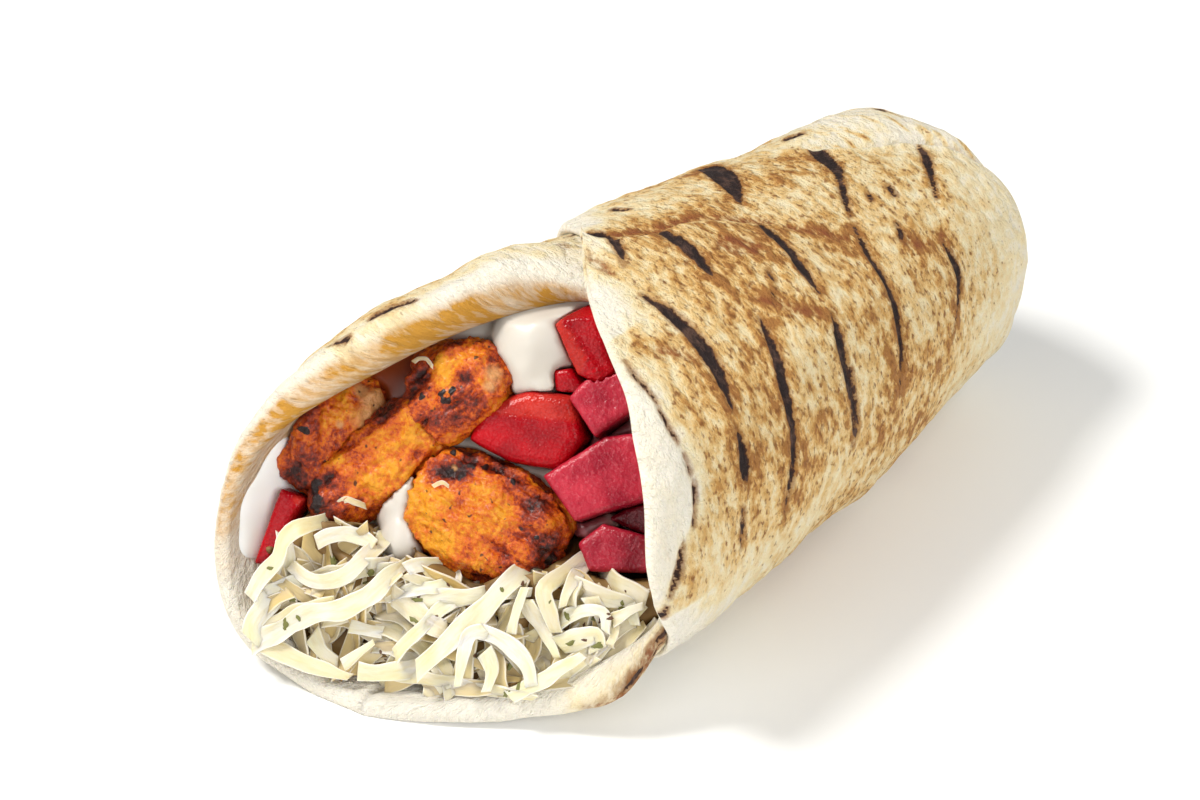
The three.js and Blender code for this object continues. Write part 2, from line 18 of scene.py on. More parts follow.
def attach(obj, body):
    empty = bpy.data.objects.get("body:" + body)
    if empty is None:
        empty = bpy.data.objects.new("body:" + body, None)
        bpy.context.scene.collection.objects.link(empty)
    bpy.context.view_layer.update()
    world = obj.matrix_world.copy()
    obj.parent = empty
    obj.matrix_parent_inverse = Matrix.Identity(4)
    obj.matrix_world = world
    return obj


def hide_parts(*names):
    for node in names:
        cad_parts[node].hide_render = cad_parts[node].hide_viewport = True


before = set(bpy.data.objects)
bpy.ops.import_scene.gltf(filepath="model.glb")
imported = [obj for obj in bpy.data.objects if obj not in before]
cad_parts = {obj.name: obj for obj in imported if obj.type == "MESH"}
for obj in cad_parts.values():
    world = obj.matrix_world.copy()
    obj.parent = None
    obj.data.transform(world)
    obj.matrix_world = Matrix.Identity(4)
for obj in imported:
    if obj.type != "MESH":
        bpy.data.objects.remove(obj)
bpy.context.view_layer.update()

# %% [markdown]
# ## Tools
# The solid model was drawn in millimetres and then moved so that its box stands over the
# origin. Everything here is worked out in those same millimetres, and only the last step
# moves it and turns it into metres.

# %% Millimetres to the scene
BOX_SHIFT = np.array([-0.047, -0.225, 0.0])  # mm, from the drawing's origin to the scene's
MM = 0.001


def to_scene(points_mm):
    return (np.asarray(points_mm, float) + BOX_SHIFT) * MM


def to_mm(points):
    return np.asarray(points, float) / MM - BOX_SHIFT

# %% [markdown]
# A smooth curve through a few measured rows describes most of this bread: how wide the roll
# is along its length, where the mouth's edge runs, how a grill mark bends. The curve passes
# through every row, and its slope at a row is that of the line between the two neighbours.

# %% Smooth curve through a table's rows
def follow(table, t, column=1):
    rows = np.array(table, float)
    place, value = rows[:, 0], rows[:, column]
    t = np.asarray(t, float)
    i = np.clip(np.searchsorted(place, t, side="right") - 1, 0, len(rows) - 2)
    before = np.maximum(i - 1, 0)
    after = np.minimum(i + 2, len(rows) - 1)
    span = place[i + 1] - place[i]
    s = np.clip((t - place[i]) / span, 0, 1)
    leaving = (value[i + 1] - value[before]) / (place[i + 1] - place[before]) * span
    arriving = (value[after] - value[i]) / (place[after] - place[i]) * span
    return (
        (2 * s**3 - 3 * s**2 + 1) * value[i]
        + (s**3 - 2 * s**2 + s) * leaving
        + (3 * s**2 - 2 * s**3) * value[i + 1]
        + (s**3 - s**2) * arriving
    )


def smoothstep(t, low, high):
    s = np.clip((np.asarray(t, float) - low) / (high - low), 0, 1)
    return s * s * (3 - 2 * s)


def bell(distance, reach):
    """1 where the distance is 0, falling to nothing at about twice the reach."""
    return np.exp(-((distance / reach) ** 2))


def between(t, start, full, fading, end):
    """Rises from 0 to 1 between start and full, and falls to 0 from fading to end."""
    return smoothstep(t, start, full) * (1 - smoothstep(t, fading, end))


def length_along(points):
    """How far along a line each of its points lies."""
    steps = np.linalg.norm(np.diff(points, axis=0), axis=1)
    return np.concatenate([[0], np.cumsum(steps)])


def mix(a, b, share):
    return a + (b - a) * share


def grain(points, size, seed=0.0, detail=1):
    """Noise from about -1 to 1 at each point; size is the width of one bump."""
    shift = Vector((seed, seed * 1.7, -seed))
    total = np.zeros(len(points))
    for octave in range(detail):
        scale = 2**octave / size
        layer = [noise.noise(Vector(p) * scale + shift) for p in points]
        total += np.array(layer) / 2**octave
    return total

# %% [markdown]
# ## Camera, light and table
# The photograph looks down on the wrap from its front right corner with a long lens. It is
# a bright studio picture with broad soft light from the upper left, so four big area lamps
# and a nearly white room do the same here.

# %% Camera
AZIMUTH, ELEVATION = math.radians(45), math.radians(35)
LOOKS_AT = to_scene((-11.17, -13.65, 33.49))
DISTANCE = 0.578
LENS_MM, SENSOR_MM = 85, 36

right = Vector((math.cos(AZIMUTH), math.sin(AZIMUTH), 0))
level = Vector((math.sin(AZIMUTH), -math.cos(AZIMUTH), 0))
backwards = math.cos(ELEVATION) * level + Vector((0, 0, math.sin(ELEVATION)))
upwards = backwards.cross(right)

camera = bpy.data.objects.new("camera", bpy.data.cameras.new("camera"))
bpy.context.scene.collection.objects.link(camera)
camera.data.lens = LENS_MM
camera.data.sensor_width = SENSOR_MM
turned = Matrix((right, upwards, backwards)).transposed().to_4x4()
camera.matrix_world = Matrix.Translation(Vector(LOOKS_AT) + DISTANCE * backwards) @ turned
bpy.context.scene.camera = camera
print("camera at", [round(c, 3) for c in camera.location])

# %% Lamps and room
LAMPS_AIM_AT = Vector((0, -0.01, 0.03))
LAMPS = [
    # name, place and width in metres, watts, colour
    ("key_light", (-0.42, -0.42, 0.95), 0.35, 11.6, (1.0, 0.985, 0.96)),
    ("fill_light", (0.95, -0.2, 0.55), 0.8, 7.0, (0.97, 0.985, 1.0)),
    ("front_light", (0.05, -1.1, 0.55), 0.7, 3.0, (1.0, 0.995, 0.985)),
    ("back_light", (0.35, 0.9, 0.75), 0.6, 3.2, (1.0, 0.99, 0.97)),
]

for name, place, width, watts, colour in LAMPS:
    light = bpy.data.lights.new(name, "AREA")
    light.shape = "DISK"
    light.size = width
    light.energy = watts
    light.color = colour
    lamp = bpy.data.objects.new(name, light)
    bpy.context.scene.collection.objects.link(lamp)
    lamp.location = place
    lamp.rotation_mode = "QUATERNION"
    lamp.rotation_quaternion = (LAMPS_AIM_AT - lamp.location).to_track_quat("-Z", "Y")

room = bpy.data.worlds.new("white_room")
room.use_nodes = True
air = room.node_tree.nodes["Background"]
air.inputs["Color"].default_value = (1, 1, 1, 1)
air.inputs["Strength"].default_value = 0.25
bpy.context.scene.world = room
bpy.context.scene.view_settings.view_transform = "Standard"
print(len(LAMPS), "lamps of", sum(watts for _, _, _, watts, _ in LAMPS), "W")

# %% [markdown]
# ## Materials: small helpers
# A maker names colours as they look on a screen, so one function turns such a hex value
# into the linear numbers that the renderer counts with. Another adds a shader node with its
# settings and links and gives back its output, which keeps each recipe readable from top to
# bottom. A Map Range node gets its numbers as a list: the value, the low and high that it
# comes from, and the two amounts that these become.

# %% Colour and node helpers
def linear(hex_colour):
    shares = [int(hex_colour[k : k + 2], 16) / 255 for k in (1, 3, 5)]
    curved = [c / 12.92 if c <= 0.04045 else ((c + 0.055) / 1.055) ** 2.4 for c in shares]
    return (*curved, 1.0)


def add(tree, kind, inputs=(), out=0, stops=(), **settings):
    """Adds a node; its inputs, in order or by name, are numbers, colours or other outputs."""
    made = tree.nodes.new("ShaderNode" + kind)
    for name, value in settings.items():
        setattr(made, name, value)
    for key, value in inputs.items() if isinstance(inputs, dict) else enumerate(inputs):
        if isinstance(value, bpy.types.NodeSocket):
            tree.links.new(value, made.inputs[key])
        else:
            made.inputs[key].default_value = value
    for place, shade in stops[1:-1]:
        made.color_ramp.elements.new(place).color = linear(shade)
    if stops:
        made.color_ramp.elements[0].color = linear(stops[0][1])
        made.color_ramp.elements[-1].color = linear(stops[-1][1])
    return made.outputs[out]


def new_material(name):
    material = bpy.data.materials.new(name)
    material.use_nodes = True
    material.node_tree.nodes.clear()
    return material, material.node_tree


def finish_material(tree, surface):
    end = tree.nodes.new("ShaderNodeOutputMaterial")
    tree.links.new(surface, end.inputs["Surface"])

# %% From a bmesh to an object, and the table
def object_of(bm, name, smooth=True):
    """An object at the origin with the bmesh in it, its faces turned outwards."""
    if bm.calc_volume(signed=True) < 0:
        bmesh.ops.reverse_faces(bm, faces=bm.faces)
    for face in bm.faces:
        face.smooth = smooth
    mesh = bpy.data.meshes.new(name)
    bm.to_mesh(mesh)
    bm.free()
    made = bpy.data.objects.new(name, mesh)
    bpy.context.scene.collection.objects.link(made)
    print(name, len(mesh.polygons), "faces")
    return made


TABLE_HALF_WIDTH = 6  # m, so that its edges are never in view

bm = bmesh.new()
bmesh.ops.create_grid(bm, x_segments=1, y_segments=1, size=TABLE_HALF_WIDTH)
table = object_of(bm, "table", smooth=False)
# Matte white laminate, which takes a soft shadow and shows no reflection.
laminate, tree = new_material("white_laminate")
smooth_white = {"Base Color": linear("#FAFAF8"), "Roughness": 0.6, "IOR": 1.45}
finish_material(tree, add(tree, "BsdfPrincipled", smooth_white))
table.data.materials.append(laminate)

# %% [markdown]
# ## The form of the roll
# The bread is one sheet rolled in two turns. A place on it is given by an angle round the
# roll, in degrees from the top and growing towards the right side, and by y along the roll,
# with the open mouth at -y. The tables are the same driving dimensions as the solids'.

# %% Driving dimensions of the bread, in mm
SHEET = 3.3  # thickness of the outer turn
TUCK = 2.5  # how far the inner turn lies below the outer one
WALL = 5.0  # both turns together
LIP_LENGTH = 14.0  # over which the rolled lip thins out to the wall
SQUARENESS = 2.2  # of a section: 2 is an ellipse, more is boxier
SAG = 1.5  # how far a section's middle lies below half its height
INNER_END = 85.0  # y of the hollow's far end
ROLL_END = 95.0  # y of the tucked end
FULL_HEIGHT = 74.0
END_RISE = 12.0  # how much the tapering end lifts off the board
LUMP_HEIGHT = 0.55
GATHER_DEPTH = 2.0  # of the folds at the tucked end

SECTIONS = [
    # y, half width, height, sideways drift
    (-98, 39.5, 60.5, -3), (-75, 43, 69, -1.5), (-50, 45.8, 74.6, 0), (-25, 43.8, 74.4, -0.6),
    (0, 42, 73.5, -2), (25, 39.7, 69.3, -3.5), (45, 37, 67, -5.5), (60, 34.6, 64.3, -7),
    (72, 33, 62.3, -7.5), (81, 30.3, 60, -7), (88, 25.5, 53, -5.5), (92.5, 18, 39, -5),
    (95, 9, 20, -4.5)
]
LIP = [
    # angle, thickness of the rolled lip
    (-180, 5), (-120, 4.6), (-90, 4.6), (-70, 5.6), (-50, 7.4), (-30, 9), (-10, 8.5), (10, 5), (180, 5)
]
MOUTH_EDGE = [
    # angle, y
    (-180, -88), (-158, -92.2), (-140, -94.8), (-120, -94), (-100, -90), (-80, -84.5), (-60, -77),
    (-40, -64), (-25, -47), (-10, -29), (5, -27), (20, -35), (45, -45), (60, -49), (76, -52.5),
    (90, -52), (106, -50), (120, -55), (134, -62), (150, -70), (163, -79), (180, -88)
]
FLAP_FRONT = [
    # angle, y
    (-90, 13), (-75, 4), (-50, -3), (-27, -10), (-17, -15), (-7, -22.5), (4, -31), (20, -39), (34, -44),
    (44, -48), (60, -52), (76, -55.5), (88, -55), (98, -52.5), (110, -48.5), (125, -46), (150, -41)
]
FLAP_BACK = [
    # angle, y
    (-90, 17), (-75, 32), (-40, 40), (-20, 44.5), (-10, 48.5), (1, 59.5), (9, 72), (18, 79), (35, 85),
    (150, 86)
]
FLAP_LEFT, FLAP_FOOT = -90.0, 150.0
MM_PER_DEGREE = 0.7  # round the roll, about
SWELLS = [
    # angle, y, height, reach in degrees, reach in mm
    (127, -58, 4.4, 15, 11), (-22, -25, 2.4, 15, 11), (-66, -62, 1.5, 20, 12), (44, 87, 1.5, 22, 9),
    (118, 80, -1.3, 30, 14)
]

# %% Points on the roll
def signed_power(value, power):
    return np.sign(value) * np.abs(value) ** power


def swell(angle, y):
    total = np.zeros_like(angle)
    for at_angle, at_y, height, degrees, mm in SWELLS:
        total += height * bell(angle - at_angle, degrees) * bell(y - at_y, mm)
    return total


def lumps(angle, y):
    slow = np.sin(np.radians(angle * 2 + 40) + y / 17) * np.sin(y / 23 + 1)
    quick = np.sin(np.radians(angle * 5) - y / 9) * 0.5
    return LUMP_HEIGHT * (slow + quick)


def gathers(angle, y):
    fold = np.abs(np.sin(np.radians(angle * 1.5 + 20)))
    return -GATHER_DEPTH * smoothstep(y, 74, ROLL_END) * (1 - fold) ** 2


def roll_point(angle, y, proud):
    """Points on the roll, in mm, `proud` mm outside its plain surface."""
    half_width = follow(SECTIONS, y, 1)
    height = follow(SECTIONS, y, 2)
    drift = follow(SECTIONS, y, 3)
    taper = np.where(y > 0, (1 - height / FULL_HEIGHT) * END_RISE, 0)
    middle = height / 2 - SAG + taper
    out = proud + lumps(angle, y) + swell(angle, y) + gathers(angle, y)
    turn = np.radians(angle)
    x = drift + (half_width + out) * signed_power(np.sin(turn), 2 / SQUARENESS)
    z = middle + (height / 2 + out) * signed_power(np.cos(turn), 2 / SQUARENESS)
    return np.stack([x, y, np.maximum(z, 0)], axis=-1)

# %% How deep the two turns lie
DIP_LENGTH = 24.0  # mm beside the flap, where the inner turn sinks to pass under it
FOOT_DEGREES = 6.0  # the same before the flap's foot


def flap_distance(angle, y):
    """How far outside the outer turn's outline a place lies, in mm; 0 under it."""
    side = np.clip(angle, FLAP_LEFT, FLAP_FOOT)
    before = follow(FLAP_FRONT, side) - y
    behind = y - follow(FLAP_BACK, side)
    left = (FLAP_LEFT - angle) * MM_PER_DEGREE
    return np.hypot(np.maximum(np.maximum(before, behind), 0), np.maximum(left, 0))


def inner_turn_depth(angle, y):
    near_flap = 1 - smoothstep(flap_distance(angle, y), 0, DIP_LENGTH)
    near_foot = 1 - smoothstep(angle, FLAP_FOOT - FOOT_DEGREES, FLAP_FOOT)
    near_end = 1 - smoothstep(y, 76, 83)
    return TUCK * near_flap * near_foot * near_end


def wall_depth(angle, y):
    near_mouth = 1 - smoothstep(y - follow(MOUTH_EDGE, angle), 2, LIP_LENGTH)
    return mix(WALL, follow(LIP, angle), near_mouth) + np.maximum(swell(angle, y), 0)


section_angles = np.linspace(-180, 180, 721)
section_arc = length_along(roll_point(section_angles, np.zeros_like(section_angles), 0))
section_arc -= np.interp(0, section_angles, section_arc)


def arc_of(angle):
    """Length round the bread from the top, in mm, at the roll's middle."""
    return np.interp(angle, section_angles, section_arc)


print("round the roll:", round(section_arc[-1] - section_arc[0]), "mm")

# %% [markdown]
# ## Where the bread is charred and toasted
# The grill leaves dark, pointed burns across the roll, each a few millimetres wide, and
# short scorched dashes along the pinched border of the flap. Each mark is a line of a few
# points with a width at each. For every point of the bread the distance to the nearest mark
# is worked out, negative inside it, and the bread's material later draws a ragged edge
# where that distance is zero. This stays sharp however close the camera comes.

# %% Grill marks: angle, y, width in mm at each point
GRILL_MARKS = [
    [(-19, -15.5, 0.3), (-15, -13, 1.5), (-9, -13.6, 1.9), (-2, -16.5, 1.5), (2, -19.8, 0.2)],
    [(-5, -6.6, 0.4), (0, -5.2, 1.7), (7, -5.6, 2.3), (14, -6.6, 1.6), (18, -7.4, 0.3)],
    [(-24, 29, 4.6), (-16, 26.8, 5.0), (-9, 24, 3.6), (-2, 20, 1.2), (0, 18.4, 0.2)],
    [(8, 15.8, 0.4), (14, 14.9, 1.9), (24, 13.4, 1.7), (30, 12.4, 1.8), (38, 11.9, 0.4)],
    [(-9, 50.6, 0.8), (-4, 49.6, 3.4), (3, 47.4, 2.8), (9, 44, 1.5), (15, 40, 1.3), (21, 37, 0.5)],
    [(10, 71.7, 0.4), (16, 70, 1.9), (24, 66, 1.4), (33, 61.5, 0.4)],
    [(11, -22.6, 0.4), (19, -21.8, 1.9), (30, -21.8, 2.6), (42, -23, 2.2), (53, -25.4, 0.3)],
    [(35, -5.6, 0.3), (46, -7.6, 1.6), (58, -10.4, 1.7), (70, -12, 1.5), (82, -15, 1.1), (93, -16.8, 0.2)],
    [(45, 11.4, 0.3), (55, 9.6, 1.9), (62, 9.2, 1.7), (74, 8.3, 1.2), (88, 7, 0.3)],
    [(64, 10.8, 0.3), (74, 9.8, 0.8), (86, 8.4, 0.3)],
    [(24, 36, 0.3), (36, 32.6, 1.3), (50, 30.8, 1.4), (66, 28.6, 1.3), (80, 25.8, 0.3)],
    [(49, 55.4, 0.3), (58, 55.7, 1.8), (65, 54.8, 1.5), (72, 51.5, 0.7), (80, 47.4, 0.2)],
    [(57, -26.3, 0.3), (64, -26.9, 1.8), (70, -27.4, 1.8), (74, -27.7, 0.4)],
    [(80, -29.3, 0.3), (86, -30.1, 1.0), (91, -30.5, 0.3)],
]
BORDER_DASHES = [
    [(25, -38.6, 0.1), (31, -39.6, 0.6), (39, -39.6, 0.2)],
    [(41, -40.3, 0.2), (46, -40.7, 0.7), (51, -40.6, 0.2)],
    [(55, -40.5, 0.2), (59, -40.6, 0.6), (61, -40.7, 0.2)],
    [(63, -40.4, 0.2), (67, -41.6, 0.9), (74, -43.7, 0.3)],
    [(77, -47.2, 0.2), (84, -49, 1.1), (90, -51.6, 0.3)],
    [(92, -52.6, 0.3), (95, -53.6, 1.0), (98, -55, 0.3)]
]
FLAP_SCORCHES = [
    [(20, 52.6, 0.9), (24, 52, 0.9)], [(19, 46, 1.1), (21, 45.4, 0.7)],
    [(33, 45.8, 0.6), (37, 44.6, 1.2), (40, 44.4, 0.5)], [(-18, -16.4, 1.6), (-15, -18.4, 0.8)],
    [(-27, 1, 0.7), (-22, 0, 1.0), (-19, 0.5, 0.4)], [(25, 4.8, 0.8), (28, 4, 0.4)],
    [(30, 1.8, 0.3), (34, 0.4, 0.6)]
]
CREST_SCORCHES = [
    [(105, -47.9, 0.5), (108, -48.8, 1.2), (112, -50.2, 0.5)],
    [(119, -52.6, 0.4), (123, -54.4, 1.1), (127, -56.6, 0.5)],
    [(114, -48.6, 0.5), (118, -49.6, 0.8), (121, -51, 0.4)], [(-32, -50.5, 1.3), (-35, -53, 0.7)],
    [(-36, -54, 1.6), (-39, -57, 0.9)], [(-42, -62.5, 1.6), (-47, -64, 0.8)],
    [(-48, -79, 1.0), (-50, -79.4, 0.6)], [(-29, -15.8, 1.3), (-24, -16.8, 0.8)],
    [(-20, -18, 1.0), (-18, -19, 0.6)], [(-34, -8, 1.2), (-32, -10, 0.5)],
    [(-13, 78, 2.0), (-17, 79, 1.2)], [(-25, 55, 1.8), (-22, 58, 1.0)]
]

# %% Marks that the photograph doesn't show
def marks_round_the_back():
    """Burns of the same kind in three rows: high and low on the left side, and underneath."""
    random = np.random.default_rng(11)
    marks = []
    for side, low, high in ((-75, -66, 82), (-125, -74, 82), (168, -52, 70)):
        for y in np.arange(low, high, 19):
            angle = side + random.uniform(-8, 8)
            reach = random.uniform(9, 19)
            slope = random.uniform(-0.16, 0.02)
            width = random.uniform(1.4, 2.4)
            start = y + random.uniform(-4, 4)
            marks.append([
                (angle - reach, start + slope * reach, 0.3),
                (angle - reach / 3, start + 0.8, width),
                (angle + reach / 3, start, width * 0.8),
                (angle + reach, start - slope * reach, 0.3),
            ])
    return marks


BACK_MARKS = marks_round_the_back()
print(len(GRILL_MARKS), "marks on the flap,", len(BACK_MARKS), "round the back")

# %% Distance to the nearest mark
FAR_OFF = 20.0  # mm, further than any mark is felt
SPREAD = 1.2  # burns are drawn wider than listed, since their ragged edge eats them away


def distance_to(marks, arc, y):
    """Signed distance in mm from each place to the nearest of the marks."""
    nearest = np.full(len(arc), FAR_OFF)
    for mark in marks:
        rows = [(k, *row) for k, row in enumerate(mark)]
        t = np.linspace(0, len(mark) - 1, 4 * len(mark))
        line = np.stack([arc_of(follow(rows, t, 1)), follow(rows, t, 2)], axis=-1)
        half = np.maximum(follow(rows, t, 3), 0.1) / 2 * SPREAD
        reach = 6 + half.max()
        beside = np.abs(arc - line[:, 0].mean()) < reach + np.ptp(line[:, 0])
        near = beside & (np.abs(y - line[:, 1].mean()) < reach + np.ptp(line[:, 1]))
        place = np.stack([arc[near], y[near]], axis=-1)
        best = np.full(len(place), FAR_OFF)
        for k in range(len(line) - 1):
            step = line[k + 1] - line[k]
            share = np.clip((place - line[k]) @ step / max(step @ step, 1e-9), 0, 1)
            foot = line[k] + share[:, None] * step
            gap = np.linalg.norm(place - foot, axis=1) - mix(half[k], half[k + 1], share)
            best = np.minimum(best, gap)
        nearest[near] = np.minimum(nearest[near], best)
    return nearest

# %% [markdown]
# Some finer facts about the bread go into numbers at each point too: how golden it is
# toasted, where a fold or a scorched streak is red-brown (the same number also carries
# painted shade), and where marinade has soaked in. The flap's border and the lower right
# flank never touched the grill and stay white.

# %% Toast, creases and stains
TOASTED_SPOTS = [
    # angle, y, reach in mm, how much more golden than the bread round it
    (22, 1, 10, 0.3), (26, -9, 10, 0.3), (68, -9, 9, 0.2), (90, 27, 13, 0.3), (78, 42, 12, 0.15),
    (80, -15, 12, 0.1), (54, -35, 6, 0.25), (-2, -8, 5, 0.4), (2, 6, 6, 0.3), (100, 2, 12, -0.2),
    (48, -20, 8, 0.1), (-4, -15, 5, -0.5), (14, -25, 8, -0.4), (4, -29, 8, -0.6), (62, 10, 6, -0.4),
    (43, 16, 7, -0.35), (50, 63, 11, -0.4), (6, 29, 8, 0.15), (-22, 6, 11, -0.5), (48, 0, 5, -0.3),
    (64, -21, 4, -0.2), (118, 57, 9, -0.3), (92, 66, 13, -0.5), (8, 68, 9, -0.35), (-15, 62, 11, -0.4)
]
BORDER_LINE = [
    # angle, y of the groove behind the flap's white border
    (18, -36.5), (26, -39), (38, -39.6), (50, -40.5), (59, -40.6), (68, -41.5), (73, -43.5), (78, -47.5),
    (86, -51), (92, -54)
]
RED_STREAKS = [
    [(-8, -7.6, 1.2), (-4, -3.4, 2.0), (-2, 2.5, 3.0), (1, 8, 3.2), (4, 13, 2.4), (9, 19, 1.4)],
    [(30, -2.4, 0.7), (38, 2.5, 1.3), (43, 8.5, 0.9)], [(12, 3, 4.5), (15, 7, 4.0)],
    [(14, 21, 1.0), (20, 26, 1.6), (27, 31.5, 1.0)],
    [(26, -31, 0.9), (31, -27.5, 1.6), (35, -24.6, 0.7)],
    [(-14, -14.6, 1.2), (-10, -12, 1.8), (-6, -8, 1.0)], [(38, 44, 1.0), (42, 46, 1.6), (45, 50, 0.8)],
    [(46, 56.5, 1.2), (48, 56, 0.8)], [(-4.5, -22.4, 1.0), (-1.5, -22.9, 2.0), (1.5, -23.2, 0.8)]
]
FOLD_STREAKS = [
    [(103, -46.5, 1.6), (110, -48.4, 3.0), (119, -51.6, 3.4), (128, -56.5, 2.2), (136, -61, 1.0)]
]

# %% How golden the outside is
def toast_outside(angle, y):
    """From 0, white, to 1, golden, and a little over; lengths in mm, angles in degrees."""
    # On the flap: white along its front border, which ends at the groove on the right.
    inside_flap = flap_distance(angle, y) <= 0
    border = smoothstep(y - follow(FLAP_FRONT, np.clip(angle, FLAP_LEFT, FLAP_FOOT)), 3, 15)
    behind_border = smoothstep(y - follow(BORDER_LINE, np.clip(angle, 18, 92)), -3, 7)
    border = np.where((angle > 18) & (angle < 95), behind_border, border)
    toast = np.where(inside_flap, mix(0.06, 1.0, border), 0.8)

    # The low right flank, the far end, the lip and the underside saw less of the grill.
    white_flank = smoothstep(angle, 82, 112) * (1 - smoothstep(y, -34, 6))
    toast = toast * (1 - 0.85 * white_flank)
    toast = toast * (1 - 0.7 * smoothstep(y, 55, 84))
    lip = 1 - smoothstep(y - follow(MOUTH_EDGE, angle), 5, 11)
    toast = np.where(inside_flap, toast, toast * (1 - 0.93 * lip))
    toast = toast * (1 - 0.3 * smoothstep(np.abs(angle), 138, 172))
    for at_angle, at_y, reach, more in TOASTED_SPOTS:
        far = np.hypot(arc_of(angle) - arc_of(at_angle), y - at_y)
        toast = toast * (1 + more * bell(far, reach))
    return np.clip(toast, 0, 1.2)

# %% [markdown]
# ## The bread itself
# Both turns start as a flat grid of points. The grid's first direction runs round the roll
# and its second follows the cut through the bread, from the inside over the rounded edge
# to the outside, so that bending the grid gives a closed sheet of real thickness. Small
# puffs, wrinkles and sunken burns are added to the outside as relief.

# %% Relief on the outside of the bread, in mm
def flat_place(across, along):
    """Places on the sheet laid flat, which its patterns follow."""
    return np.stack([across, along, np.zeros_like(along)], axis=-1)


def bread_relief(arc, y, char, crease):
    """Each pattern is its height in mm times noise, whose bumps are so many mm wide."""
    flat = flat_place(arc, y)
    stretched = flat * (0.45, 1, 1)
    puffs = 0.75 * grain(flat, 15, 3) + 0.45 * grain(stretched, 5.5, 8)
    skin = 0.2 * grain(stretched, 2.2, 5) + 0.1 * grain(stretched, 1.1, 6)
    burnt = smoothstep(-char, -0.35, 0.4)
    rim = bell(char - 0.5, 0.5)
    rough = 0.12 * grain(flat, 0.9, 21)
    return puffs + skin - 0.4 * burnt + 0.12 * rim + burnt * rough - 0.3 * crease

# %% One piece of bread from a bent grid
WIDE_MARK = 1.25  # mm; only burns wider than this have a golden halo


def share_of(row, start, count):
    """0 up to row `start`, and 1 from `count` rows further on."""
    return np.clip((row - start) / count, 0, 1)


def bread_piece(name, columns, rows, place):
    """`place` takes the grid's two coordinates, 0 to 1, and gives points and looks."""
    bm = bmesh.new()
    bmesh.ops.create_grid(bm, x_segments=columns - 1, y_segments=rows - 1, size=0.5)
    mesh = bpy.data.meshes.new(name)
    bm.to_mesh(mesh)
    bm.clear()
    grid = np.empty(3 * len(mesh.vertices))
    mesh.vertices.foreach_get("co", grid)
    u, v = grid.reshape(-1, 3)[:, 0] + 0.5, grid.reshape(-1, 3)[:, 1] + 0.5
    points, looks = place(u, v)
    mesh.vertices.foreach_set("co", to_scene(points).ravel())
    for look in ("char", "toast", "crease", "stain"):
        layer = mesh.attributes.new(look, "FLOAT", "POINT")
        layer.data.foreach_set("value", looks[look].astype(np.float32))
    corner = np.empty(len(mesh.loops), int)
    mesh.loops.foreach_get("vertex_index", corner)
    sheet = np.stack([looks["arc"], looks["length"]], axis=-1) * MM
    layer = mesh.uv_layers.new(name="sheet")
    layer.data.foreach_set("uv", sheet[corner].astype(np.float32).ravel())
    bm.from_mesh(mesh)
    bpy.data.meshes.remove(mesh)
    bmesh.ops.remove_doubles(bm, verts=bm.verts, dist=1e-6)
    open_rims = [edge for edge in bm.edges if edge.is_boundary]
    if open_rims:
        bmesh.ops.holes_fill(bm, edges=open_rims, sides=0)
    return object_of(bm, name)

# %% Looks of the bread at each point
def looks_at(angle, y, outside, marks, streaks):
    """Looks of each point; `outside` is 1 on the outer skin and 0 on the inner one."""
    arc = arc_of(angle)
    char = np.where(outside > 0.5, distance_to(marks, arc, y), FAR_OFF)
    streak = distance_to(streaks, arc, y)
    scorched = 0.5 * bell(np.maximum(streak, 0), 3)
    wide = [mark for mark in marks if max(width for _, _, width in mark) > WIDE_MARK]
    scorched = scorched + 0.38 * (1 - smoothstep(distance_to(wide, arc, y), 0, 5))
    return {
        "arc": arc, "length": y, "char": char, "toast": (toast_outside(angle, y) + scorched) * outside,
        "crease": smoothstep(-streak, -1.0, 0.5) * (outside > 0.5), "stain": np.zeros_like(arc),
    }

# %% [markdown]
# ### Inner turn
# The inner turn is a whole tube. At the mouth its edge is rolled over the filling at the
# upper left, where the lip is up to 9 mm thick, and marinade from the chicken has stained
# its underside. At the far end the sheet is gathered in folds and tucked shut.

# %% Inner turn
INSIDE_ROWS, LIP_ROWS, OUTSIDE_ROWS, CAP_ROWS = 42, 12, 186, 12
INNER_ROWS = INSIDE_ROWS + LIP_ROWS + OUTSIDE_ROWS + CAP_ROWS
INNER_COLUMNS = 281
LIP_STRETCH = 1.3  # length round the lip for each mm of its thickness
STAIN_LINE = [(-120, 0), (-80, 0.8), (-45, 1), (0, 0.9), (12, 0.3), (20, 0)]  # angle, share


